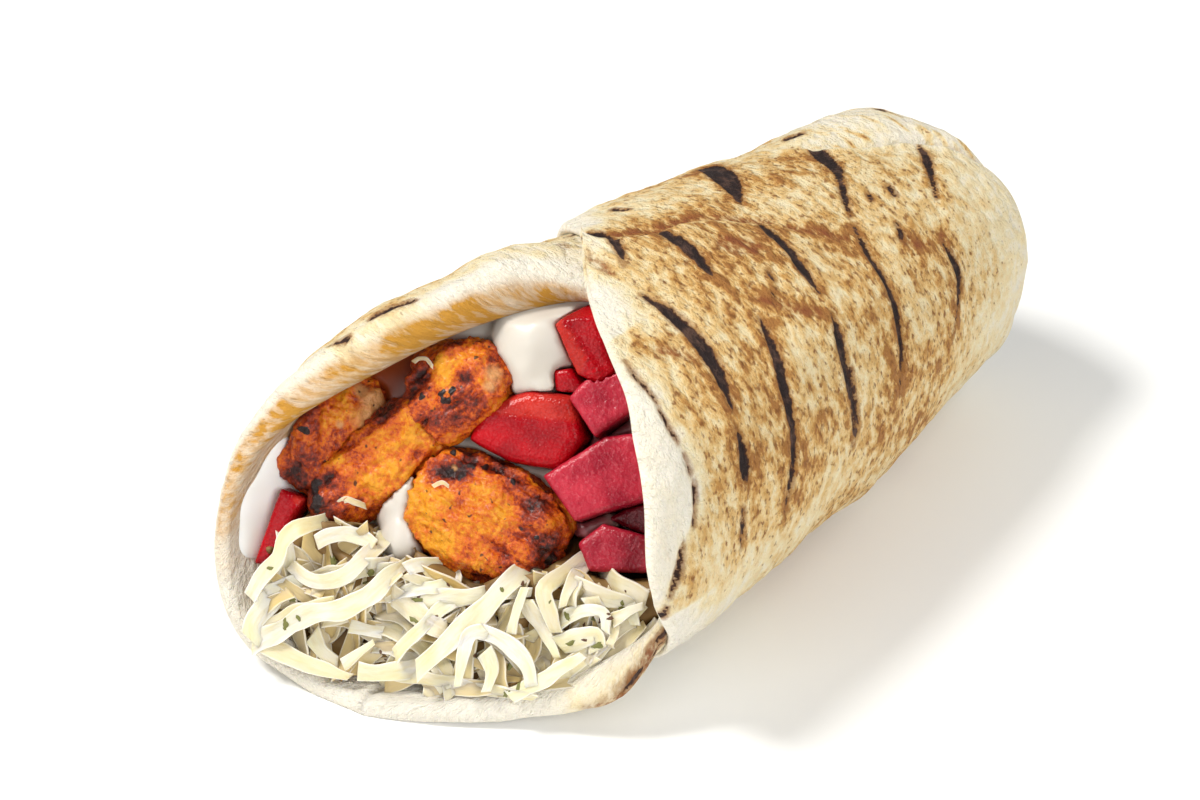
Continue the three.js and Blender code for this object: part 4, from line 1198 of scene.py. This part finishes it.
# %% Turnip's dyed flesh
def turnip_material():
    material, tree = new_material("pickled_turnip")
    place = add(tree, "TexCoord", out="Object")
    cloud, fine = [
        add(tree, "TexNoise", {"Vector": place, "Scale": 1000 / mm, "Detail": n, "Roughness": 0.6})
        for mm, n in ((7, 3), (0.7, 2))
    ]
    spread = add(tree, "MapRange", [cloud, 0.35, 0.65])
    deep = add(tree, "Attribute", out="Fac", attribute_name="deep")
    veins = add(tree, "MapRange", [fine, 0.58, 0.72, 0, 0.3])
    colour = linear("#9A0F28")
    # The deep share mixes in #780B1D, a painted shade.
    for amount, over in ((spread, "#C52F42"), (deep, "#780B1D"), (veins, "#E2707A")):
        colour = add(tree, "Mix", {0: amount, 6: colour, 7: linear(over)}, 2, data_type="RGBA")
    bump = add(tree, "Bump", {"Height": fine, "Strength": 0.6, "Distance": 0.0004})
    crisp = {
        "Base Color": colour, "Roughness": 0.26, "IOR": 1.4, "Subsurface Weight": 0.3,
        "Subsurface Radius": (0.004, 0.0012, 0.0014), "Subsurface Scale": 0.6, "Normal": bump,
    }
    finish_material(tree, add(tree, "BsdfPrincipled", crisp))
    return material


pickled = turnip_material()
for number, node in enumerate(DEEP_RED, start=1):
    piece = cut_turnip(node, 81 + 3 * number)
    piece.data.materials.append(pickled)
    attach(piece, "root")
    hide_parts(node)

# %% [markdown]
# ## Garlic sauce
# Whipped garlic sauce is thick and opaque, with soft folds where the spoon left it and a
# faint shine. It is smoothed much more than the other pieces.

# %% Sauce
DRIPPED_ON = [
    # x, y, z and radius of the places darkened brown: partly marinade that ran over, partly painted shade
    # between the chicken pieces
    (-35.2, -52.5, 50.5, 7.0), (-31.8, -50.2, 51.0, 7.0), (-29.6, -47.7, 54.0, 6.5),
    (-30.4, -52.0, 47.5, 7.0), (-26.5, -46.5, 57.5, 5.0),
]
JUICE_ON = [
    # x, y, z and radius of the painted shade, tinted red, in the gaps between the turnip blocks
    (7.8, -33.4, 43.7, 3.0), (10.5, -31.2, 45.4, 4.0), (14.8, -31.8, 29.8, 5.0),
    (14.7, -42.0, 29.0, 5.0), (-1.9, -34.0, 37.0, 5.0), (6.8, -30.3, 42.0, 3.0),
]
SAUCE_FINISH = {
    "Roughness": 0.34, "IOR": 1.45, "Subsurface Weight": 0.25,
    "Subsurface Radius": (0.005, 0.004, 0.003), "Subsurface Scale": 0.5,
}

sauce = skin_over("garlic_sauce_folds", "garlic_sauce", 0.8, 7)
points, normals = points_and_normals(sauce)
folds = 0.45 * grain(points, 9, 3) + 0.22 * grain(points, 4, 7)
set_points(sauce, points + normals * (folds + 0.25)[:, None])
set_looks(
    sauce,
    drips=np.clip(1.7 * near_spots(points, DRIPPED_ON), 0, 1),
    juice=np.clip(1.5 * near_spots(points, JUICE_ON), 0, 0.9),
)

# %% Sauce's colour
whipped, tree = new_material("whipped_garlic_sauce")
place = add(tree, "TexCoord", out="Object")
cream = add(tree, "TexNoise", {"Vector": place, "Scale": 1000 / 12, "Detail": 2})
drips, juice = [add(tree, "Attribute", out="Fac", attribute_name=look) for look in ("drips", "juice")]
# The sauce's white is greyed as painted shade under the flap; brown marks are marinade with painted shade
# between the chicken pieces, and red marks are painted shade between the turnips.
colour = linear("#D2CCC3")
for amount, over in ((cream, "#CBC4B6"), (drips, "#8A3A12"), (juice, "#8E2433")):
    colour = add(tree, "Mix", {0: amount, 6: colour, 7: linear(over)}, 2, data_type="RGBA")
finish_material(tree, add(tree, "BsdfPrincipled", {"Base Color": colour, **SAUCE_FINISH}))
sauce.data.materials.append(whipped)
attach(sauce, "root")
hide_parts("garlic_sauce")

# %% [markdown]
# A little sauce is smeared thinly on the inside of the bread at the left of the mouth. It
# is a flat lens that follows the wall: thick in the middle, with a rim that dips into the
# bread so that no edge stands up.

# %% Sauce smeared on the wall
SMEAR_ANGLE, SMEAR_Y = -101.0, -76.5
SMEAR_DEGREES, SMEAR_LENGTH = 19.0, 10.5
SMEAR_RISE, RIM_SINK, BACK_SINK = 2.1, 0.6, 0.9  # mm
AROUND, RINGS = 72, 30

bm = bmesh.new()
bmesh.ops.create_grid(bm, x_segments=AROUND, y_segments=RINGS, size=0.5)
for vert in bm.verts:
    turn = (vert.co.x + 0.5) * 2 * math.pi
    ring = (vert.co.y + 0.5) * 2
    on_top = ring <= 1
    radius = ring if on_top else 2 - ring
    wobble = 1 + 0.16 * math.sin(3 * turn + 1) + 0.1 * math.sin(5 * turn)
    angle = SMEAR_ANGLE + SMEAR_DEGREES * radius * wobble * math.cos(turn)
    y = SMEAR_Y + SMEAR_LENGTH * radius * wobble * math.sin(turn)
    dome = SMEAR_RISE * math.sqrt(max(1 - radius**2, 0))
    thickness = dome - RIM_SINK if on_top else -BACK_SINK
    thickness += 0.3 * noise.noise(Vector((angle * 0.12, y * 0.2, 5.0))) * (1 - radius)
    place, row = np.array([angle]), np.array([y])
    depth = float(wall_depth(place, row)[0]) + thickness
    vert.co = to_scene(roll_point(place, row, -depth)[0])
bmesh.ops.remove_doubles(bm, verts=bm.verts, dist=2e-6)
smear = object_of(bm, "garlic_sauce_smear")
# The smear's white is a lit copy of the sauce: brighter than the greyed sauce in the mouth, a painted
# light.
spread, tree = new_material("spread_garlic_sauce")
thin_sauce = {"Base Color": linear("#FBF9F2"), **SAUCE_FINISH}
finish_material(tree, add(tree, "BsdfPrincipled", thin_sauce))
smear.data.materials.append(spread)
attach(smear, "root")

# %% [markdown]
# ## Cabbage
# White cabbage shredded by hand: flat ribbons 2 to 5 mm wide and about half a millimetre
# thick, limp from the dressing, that curl and cross each other. Under them lies a core, the
# solid model's own heap smoothed and sunk, in the tan colour of the shade between the
# shreds. The longest ribbons follow the photograph, and the rest fill the heap at random.
# The leaf is so thin that light glows in it, and its cut rims get a painted highlight.

# %% Core of the heap
WELL_ABOVE = 40.0  # mm over the open face, where rays towards the heap start

core = skin_over("cabbage_core", "cabbage", 1.2, 24)
points, normals = points_and_normals(core)
at_left, _, _ = in_face(points)
inwards = np.multiply.outer(5.0 * smoothstep(-at_left, 31, 37), FACE_X)
set_points(core, points + inwards + normals * (0.5 * grain(points, 4, 17) - 0.9)[:, None])
core_points, _ = points_and_normals(core)
core_faces = [tuple(polygon.vertices) for polygon in core.data.polygons]
core_tree = BVHTree.FromPolygons([Vector(p) for p in core_points], core_faces)


def height_of_core(x, y):
    """How far the heap's core stands out of the open face at x, y, in mm."""
    start = Vector(face_point(x, y, WELL_ABOVE))
    hit, _, _, far = core_tree.ray_cast(start, Vector(-FACE_OUT))
    return WELL_ABOVE - far if hit is not None else math.nan

# %% Ribbons seen in the photograph, in mm on the open face
LONG_RIBBONS = [
    # width, lift above the core, then the points that it runs through
    (2.7, 4.2, (-33, -24.7), (-30.6, -19.6), (-28.4, -16), (-27.6, -12.5), (-24.8, -9.4), (-20, -7.4),
     (-14.5, -6.2), (-11.2, -7), (-10.1, -9.6), (-11.6, -13.6), (-14.9, -17.4), (-18.8, -19.3),
     (-23.2, -18.9), (-26.4, -17.2)),
    (2.6, 2, (-22.1, -12.1), (-17.4, -9.5), (-13, -9.9), (-10.4, -10.6)),
    (3.4, 4.6, (-32, -34.2), (-27, -30.6), (-20, -25.6), (-14.3, -23.8), (-9.3, -20.5), (-6.3, -16.5),
     (-4.3, -13)),
    (3.2, 3.4, (-30.9, -31.4), (-26, -28), (-20.9, -24.9), (-15.8, -22.2)),
    (2.4, 3.2, (-3, -14), (1.2, -12.3), (5.2, -13.4), (5.8, -15.6), (1.6, -16.9), (-2.3, -18.2),
     (-6.3, -20.9)),
    (3.6, 3, (-5.4, -19.3), (-0.3, -21.7), (4.5, -23.8), (7.1, -24.5)),
    (3, 3, (-9.6, -35), (-5.3, -34.8), (0.2, -33), (4.2, -30.5), (8, -26.1)),
    (3.2, 3, (-20.7, -30.1), (-18.1, -33.1), (-14.6, -34.7)),
    (2, 4, (-13, -34.5), (-10.1, -31.8), (-7.3, -29)),
    (2.2, 4, (-12.6, -27), (-9.5, -27), (-6.2, -27)),
    (3.5, 6.2, (22.1, -6.3), (19, -11.2), (15.4, -16.5), (11.7, -21.4), (8, -25.9), (4.8, -30),
     (2.7, -32.9)),
    (3.4, 4, (-1.6, -20.2), (1.7, -19.4), (6.7, -18.1), (13.1, -16.2)),
    (2.4, 5.6, (15, -22.6), (11.9, -24.3), (11.5, -27.3), (11.3, -31.6), (11.2, -34.2)),
    (2.8, 5.4, (13.2, -22.9), (17.8, -23.8), (21.8, -26.2), (24.1, -29.3), (25.1, -31.8)),
    (3, 3.4, (15.1, -26.6), (16.8, -30.7), (16.4, -34.4)),
    (2.8, 3.4, (21.3, -15.6), (23.6, -18.9), (26.4, -22.4), (28.7, -25.7)),
    (1.6, 4, (19.7, -22.6), (20.2, -18.2), (21.2, -13.2)),
    (2.8, 4.4, (30.1, -6.1), (27.3, -9.3), (24.9, -12), (25.4, -14.8), (27, -18.8), (28, -20.9)),
    (2.4, 3.4, (29.9, -6.5), (29.5, -10.1), (28.9, -13.7), (28.7, -15.8)),
    (4.2, 3, (32.1, -9.1), (36.2, -9.7), (41, -10.6), (44, -12)),
    (2.4, 4, (28.2, -18.6), (32, -16.2), (36, -15.8), (37.4, -19.2)),
    (3.4, 3.4, (28.3, -23.2), (32.6, -21.3), (35.3, -20.2), (36.2, -23)),
    (2.6, 4, (20.6, -34.4), (25.4, -31.4), (30.2, -27.2), (33.9, -24.1)),
    (1.8, 3, (37.2, -15.9), (38.9, -19), (38.3, -21.5)),
    (2.2, 3, (38.1, -16.7), (41.3, -14.4), (43.6, -13.1)),
    (3.2, 1.6, (29, -11), (34, -12.6), (39, -12.8), (43.5, -14.5)),
    (3, 1.4, (31, -27.5), (35, -22.5), (39, -18.5), (42, -16)),
    (2.6, 1.2, (25.5, -33), (30, -29.5), (35, -25.5), (38.5, -21)),
    (2.8, 1.2, (10, -36.5), (16, -36.2), (22.5, -34.6), (28, -31)),
    (2.6, 2.2, (33.5, -13), (36.5, -17.5), (38, -22)),
    (2.4, 2, (39.5, -10.8), (41, -14), (42.5, -17)),
    (2.8, 1.4, (32, -30), (36.5, -25.5), (40.5, -21), (44, -16.5)),
    (3.2, 2.4, (33, -31), (39, -26), (43.5, -21), (46.5, -16)),
    (3.4, 1.6, (-8, -37), (-1, -37.4), (6, -36.6), (11.5, -34)),
    (3, 1.6, (-30, -33.5), (-24, -34.8), (-17, -36.4), (-11, -36.6)),
]
SHREDS_ON_CHICKEN = [
    # width and points in mm
    (0.8, [(-24.4, -51.8, 54.8), (-22.9, -51.5, 56.2), (-21.1, -51.2, 56.8), (-19, -51.5, 56.2)]),
    (1.3, [(-24.2, -72.8, 31.6), (-22.8, -71.8, 32.9), (-21.4, -70.6, 32.3), (-20.4, -69, 30.9)]),
    (0.8, [(-6.6, -63.5, 40.2), (-5, -62.4, 41.4), (-3.8, -61.8, 40.8)]),
]
HEAP_TOP = [
    # x, y of the upper edge of the heap
    (-36, -16), (-33, -14), (-30, -11), (-24, -8.6), (-12, -6.5), (-4, -11.5), (4, -13.5), (14, -12.5),
    (22, -9.5), (32, -8.8), (44, -10),
]
HEAP_BOTTOM = [
    # x, y of its lower edge
    (-36, -30), (-33, -34.5), (-22, -37), (-8, -38.6), (11, -38.4), (23, -37), (32, -31.5), (38, -24),
    (45, -15),
]

# %% One ribbon
RIBBON_ROWS = 22
# A ribbon's cut, as shares of half its width and thickness: flat faces and crisp edges.
RIBBON_CUT = [
    (1, 0), (1, 0.7), (0.94, 1), (0.82, 1), (0, 1), (-0.82, 1), (-0.94, 1), (-1, 0.7), (-1, 0),
    (-1, -0.7), (-0.94, -1), (0, -1), (0.94, -1), (1, -0.7), (1, 0)
]


def ribbon_grid(path, width, thickness, lean, seed):
    """Points of a thin, cupped ribbon along a path of 3-D points in mm."""
    random = np.random.default_rng(seed)

    # A line of even steps along the path, closed at both ends.
    reached = length_along(path)
    rows = [(s, *p) for s, p in zip(reached, path)]
    length = reached[-1]
    rows_needed = max(RIBBON_ROWS, int(length / 1.3))
    s = np.concatenate([[0], np.linspace(0.08, length - 0.08, rows_needed - 2), [length]])
    line = np.stack([follow(rows, s, k) for k in (1, 2, 3)], axis=-1)

    # Directions across the ribbon and out of it, twisted a little from end to end.
    forwards = np.gradient(line, s, axis=0)
    forwards /= np.linalg.norm(forwards, axis=1)[:, None]
    side = np.cross(forwards, FACE_OUT)
    side /= np.linalg.norm(side, axis=1)[:, None]
    top = np.cross(side, forwards)
    twist = random.uniform(-1, 1) * lean * (s / length - 0.5) * 2 + random.uniform(-1, 1) * lean
    across = side * np.cos(twist)[:, None] + top * np.sin(twist)[:, None]
    above = np.cross(across, forwards)

    # Wavy edges, a narrower far end, and a cupped, rippled face.
    cut = np.array(RIBBON_CUT, float)
    wavy = [1 + 0.13 * np.sin(s * random.uniform(0.3, 0.9) + random.uniform(0, 6)) for _ in range(2)]
    narrow = 1 - random.uniform(0.1, 0.6) * smoothstep(s, length - 2.5 * width, length)
    half = 0.5 * width * narrow
    right_edge, left_edge = [np.multiply.outer(half * wave, cut[:, 0]) for wave in wavy]
    sideways = np.where(cut[:, 0] > 0, right_edge, left_edge)
    thin = np.ones(len(s))
    thin[0] = thin[-1] = 0
    lift = 0.5 * thickness * np.multiply.outer(thin, cut[:, 1])
    cup = random.uniform(-0.35, 0.35)
    ripple = 0.07 * width * np.sin(s * random.uniform(0.4, 1.1) + random.uniform(0, 6))
    lift = lift + cup * sideways**2 / width + ripple[:, None] * sideways / width
    slant = random.uniform(-0.9, 0.9)
    points = line[:, None, :] + sideways[:, :, None] * (across + slant * forwards)[:, None, :]
    return points + lift[:, :, None] * above[:, None, :], s, sideways

# %% All ribbons in one mesh
def ribbons_mesh(name, ribbons):
    """All the ribbons in one mesh, with a map along and across each in metres."""
    bm = bmesh.new()
    sheet = bm.loops.layers.uv.new("sheet")
    tint = bm.verts.layers.float.new("tint")
    rim = bm.verts.layers.float.new("rim")
    for number, (points, s, sideways, shade) in enumerate(ribbons):
        rows, round_points, _ = points.shape
        made = bmesh.ops.create_grid(bm, x_segments=round_points - 1, y_segments=rows - 1, size=0.5)
        for vert in made["verts"]:
            j = round((vert.co.x + 0.5) * (round_points - 1))
            i = round((vert.co.y + 0.5) * (rows - 1))
            for loop in vert.link_loops:
                loop[sheet].uv = ((s[i] + 37 * number) * MM, (sideways[i, j] + 11 * number) * MM)
            vert[tint] = shade
            # The cut rims are marked for a painted highlight.
            vert[rim] = 1.0 if abs(RIBBON_CUT[j][0]) > 0.9 else 0.0
            vert.co = to_scene(points[i, j])
        bmesh.ops.remove_doubles(bm, verts=made["verts"], dist=2e-6)
    return object_of(bm, name)

# %% Ribbons of the heap
LAYERS = [
    # mm above the core, number of ribbons
    (0.0, 72), (0.8, 30), (1.6, 10),
]
ROUTE_STEPS = 9
LOOP_CENTRE, LOOP_WIDTH, LOOP_HEIGHT = (-18, -13.5), 9, 5  # kept free for the curled ribbon


def ribbon_path(route, lift, wave, seed):
    """Lays a route of open-face points over the core, with a little springiness."""
    random = np.random.default_rng(seed)
    route = np.array(route)
    reached = length_along(route)
    s = np.linspace(0, reached[-1], max(5, int(reached[-1] / 3)))
    x = follow(np.stack([reached, route[:, 0]], axis=-1), s)
    y = follow(np.stack([reached, route[:, 1]], axis=-1), s)
    base = np.array([height_of_core(a, b) for a, b in zip(x, y)])
    met = np.isfinite(base)
    base = np.interp(s, s[met], base[met]) if met.any() else np.full(len(s), -4.0)
    base = np.convolve(np.pad(base, 1, mode="edge"), (0.25, 0.5, 0.25), mode="valid")
    spring = wave * np.sin(s * random.uniform(0.2, 0.4) + random.uniform(0, 6))
    return face_point(x, y, base + lift + spring)


def heap_ribbons():
    random = np.random.default_rng(5)
    ribbons = []
    for layer, count in LAYERS:
        for _ in range(count):
            x = random.uniform(-34, 46)
            y = mix(follow(HEAP_BOTTOM, x), follow(HEAP_TOP, x), random.uniform(0.02, 0.98))
            angle = random.normal(0.55, 0.6)
            length = random.uniform(16, 38)
            bend = random.normal(0, 0.035)

            # A bent, once folded route, of which only what lies on the heap is kept.
            route = []
            fold, folded = random.integers(2, 7), random.uniform(-0.8, 0.8)
            px, py = x - math.cos(angle) * length / 2, y - math.sin(angle) * length / 2
            for step in range(ROUTE_STEPS):
                angle += bend * length / (ROUTE_STEPS - 1) + (folded if step == fold else 0)
                px += math.cos(angle) * length / ROUTE_STEPS
                py += math.sin(angle) * length / ROUTE_STEPS
                low, high = follow(HEAP_BOTTOM, px) + 0.6, follow(HEAP_TOP, px) - 0.6
                if -33 < px < 45.5 and low < py < high:
                    route.append((px, py))
            from_loop = ((x - LOOP_CENTRE[0]) / LOOP_WIDTH, (y - LOOP_CENTRE[1]) / LOOP_HEIGHT)
            in_loop = math.hypot(*from_loop) < 1
            if len(route) < 4 or (in_loop and layer > 0):
                continue

            # The deeper it lies, the more painted shade it gets, on top of a tone that varies at random.
            seed = int(random.integers(1 << 30))
            width = random.uniform(1.6, 4.4)
            path = ribbon_path(route, layer + random.uniform(0, 1.2), 0.6, seed)
            grid = ribbon_grid(path, width, random.uniform(0.35, 0.55), 0.5, seed)
            ribbons.append((*grid, random.uniform(0.3, 1.0) - 0.2 * layer))
    for number, (width, lift, *route) in enumerate(LONG_RIBBONS):
        path = ribbon_path(route, lift, 0.25, 400 + number)
        grid = ribbon_grid(path, 1.2 * width, 0.5, 0.2, 500 + number)
        # Long ribbons lying low get more painted shade.
        ribbons.append((*grid, random.uniform(0.0, 0.35) + (0.15 if lift < 2 else 0)))
    for number, (width, path) in enumerate(SHREDS_ON_CHICKEN):
        grid = ribbon_grid(np.array(path), width, 0.35, 0.3, 700 + number)
        ribbons.append((*grid, 0.6))
    return ribbons


shreds = ribbons_mesh("cabbage_shreds", heap_ribbons())

# %% Cabbage materials
def cabbage_leaf():
    material, tree = new_material("shredded_white_cabbage")
    sheet = add(tree, "UVMap", uv_map="sheet")
    tint, rim = [add(tree, "Attribute", out="Fac", attribute_name=look) for look in ("tint", "rim")]
    drawn_out = add(tree, "Mapping", {"Vector": sheet, "Scale": (0.2, 1, 1)})
    lengthwise = {"Vector": drawn_out, "Scale": 1000 / 1.2, "Detail": 3, "Roughness": 0.6}
    fibres = add(tree, "TexNoise", lengthwise)
    patch = add(tree, "TexNoise", {"Vector": sheet, "Scale": 1000 / 9, "Detail": 2})

    # White inner leaf, then greener outer leaf, tan for each ribbon's own tone and painted shade, veins,
    # and a painted highlight on the cut rim.
    greener = add(tree, "MapRange", [patch, 0.4, 0.65, 0, 0.6])
    vein = add(tree, "MapRange", [fibres, 0.45, 0.7, 0, 0.5])
    cut = add(tree, "Math", [rim, 0.55], operation="MULTIPLY")
    colour = linear("#E8E4D4")
    for amount, over in (
        (greener, "#DAD69E"), (tint, "#C7A766"), (vein, "#D8C184"), (cut, "#F4EFDF"),
    ):
        colour = add(tree, "Mix", {0: amount, 6: colour, 7: linear(over)}, 2, data_type="RGBA")
    bump = add(tree, "Bump", {"Height": fibres, "Strength": 0.6, "Distance": 0.0005})
    thin_leaf = {
        "Base Color": colour, "Roughness": 0.4, "IOR": 1.4, "Subsurface Weight": 0.45,
        "Subsurface Radius": (0.004, 0.0038, 0.0022), "Subsurface Scale": 0.5, "Normal": bump,
    }
    finish_material(tree, add(tree, "BsdfPrincipled", thin_leaf))
    return material

def cabbage_in_the_shade():
    material, tree = new_material("cabbage_in_the_shade")
    place = add(tree, "TexCoord", out="Object")
    mottle = add(tree, "TexNoise", {"Vector": place, "Scale": 1000 / 3, "Detail": 3})
    # Painted shade: the dark browns of the gaps between the shreds.
    browns = {0: mottle, 6: linear("#5C4022"), 7: linear("#9C7C48")}
    depths = add(tree, "Mix", browns, 2, data_type="RGBA")
    dressed = {"Base Color": depths, "Roughness": 0.5, "IOR": 1.4}
    finish_material(tree, add(tree, "BsdfPrincipled", dressed))
    return material


for piece, material in ((core, cabbage_in_the_shade()), (shreds, cabbage_leaf())):
    piece.data.materials.append(material)
    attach(piece, "root")
    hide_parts("cabbage")

# %% [markdown]
# ## Herbs and crumbs
# Chopped parsley from the dressing and black crumbs off the grill lie on the cabbage. Each
# is a crumpled flake of 80 small faces, laid flat on the ribbon below it.

# %% Flakes on the cabbage
shred_tree = BVHTree.FromObject(shreds, bpy.context.evaluated_depsgraph_get())


def flakes(name, count, smallest, largest, seed):
    random = np.random.default_rng(seed)
    bm = bmesh.new()
    laid = 0
    while laid < count:
        x = random.uniform(-32, 42)
        y = mix(follow(HEAP_BOTTOM, x), follow(HEAP_TOP, x), random.uniform(0.08, 0.95))
        size = random.uniform(smallest, largest)
        start = Vector(to_scene(face_point(x, float(y), WELL_ABOVE)))
        hit, normal, _, _ = shred_tree.ray_cast(start, Vector(-FACE_OUT))
        turn = random.uniform(0, math.pi)
        if hit is None:
            continue
        made = bmesh.ops.create_icosphere(bm, subdivisions=2, radius=0.5 * size * MM)
        lying = normal.to_track_quat("Z", "Y").to_matrix()
        for vert in made["verts"]:
            jag = 1 + 1.2 * noise.noise(vert.co / MM * 1.9 + Vector((laid, seed, 0)))
            flat = Vector((vert.co.x * jag * 1.3, vert.co.y * jag * 0.7, vert.co.z * 0.3))
            vert.co = hit + lying @ (Matrix.Rotation(turn, 3, "Z") @ flat)
        laid += 1
    return object_of(bm, name, smooth=False)


for name, of_what, count, smallest, largest, seed, shade, roughness in (
    ("parsley_flecks", "chopped_parsley", 22, 0.6, 1.8, 3, "#6E6E34", 0.5),
    ("grill_crumbs", "charred_crumbs", 16, 0.4, 1.0, 4, "#5A3B25", 0.6),
):
    piece = flakes(name, count, smallest, largest, seed)
    material, tree = new_material(of_what)
    matte = {"Base Color": linear(shade), "Roughness": roughness}
    finish_material(tree, add(tree, "BsdfPrincipled", matte))
    piece.data.materials.append(material)
    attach(piece, "root")
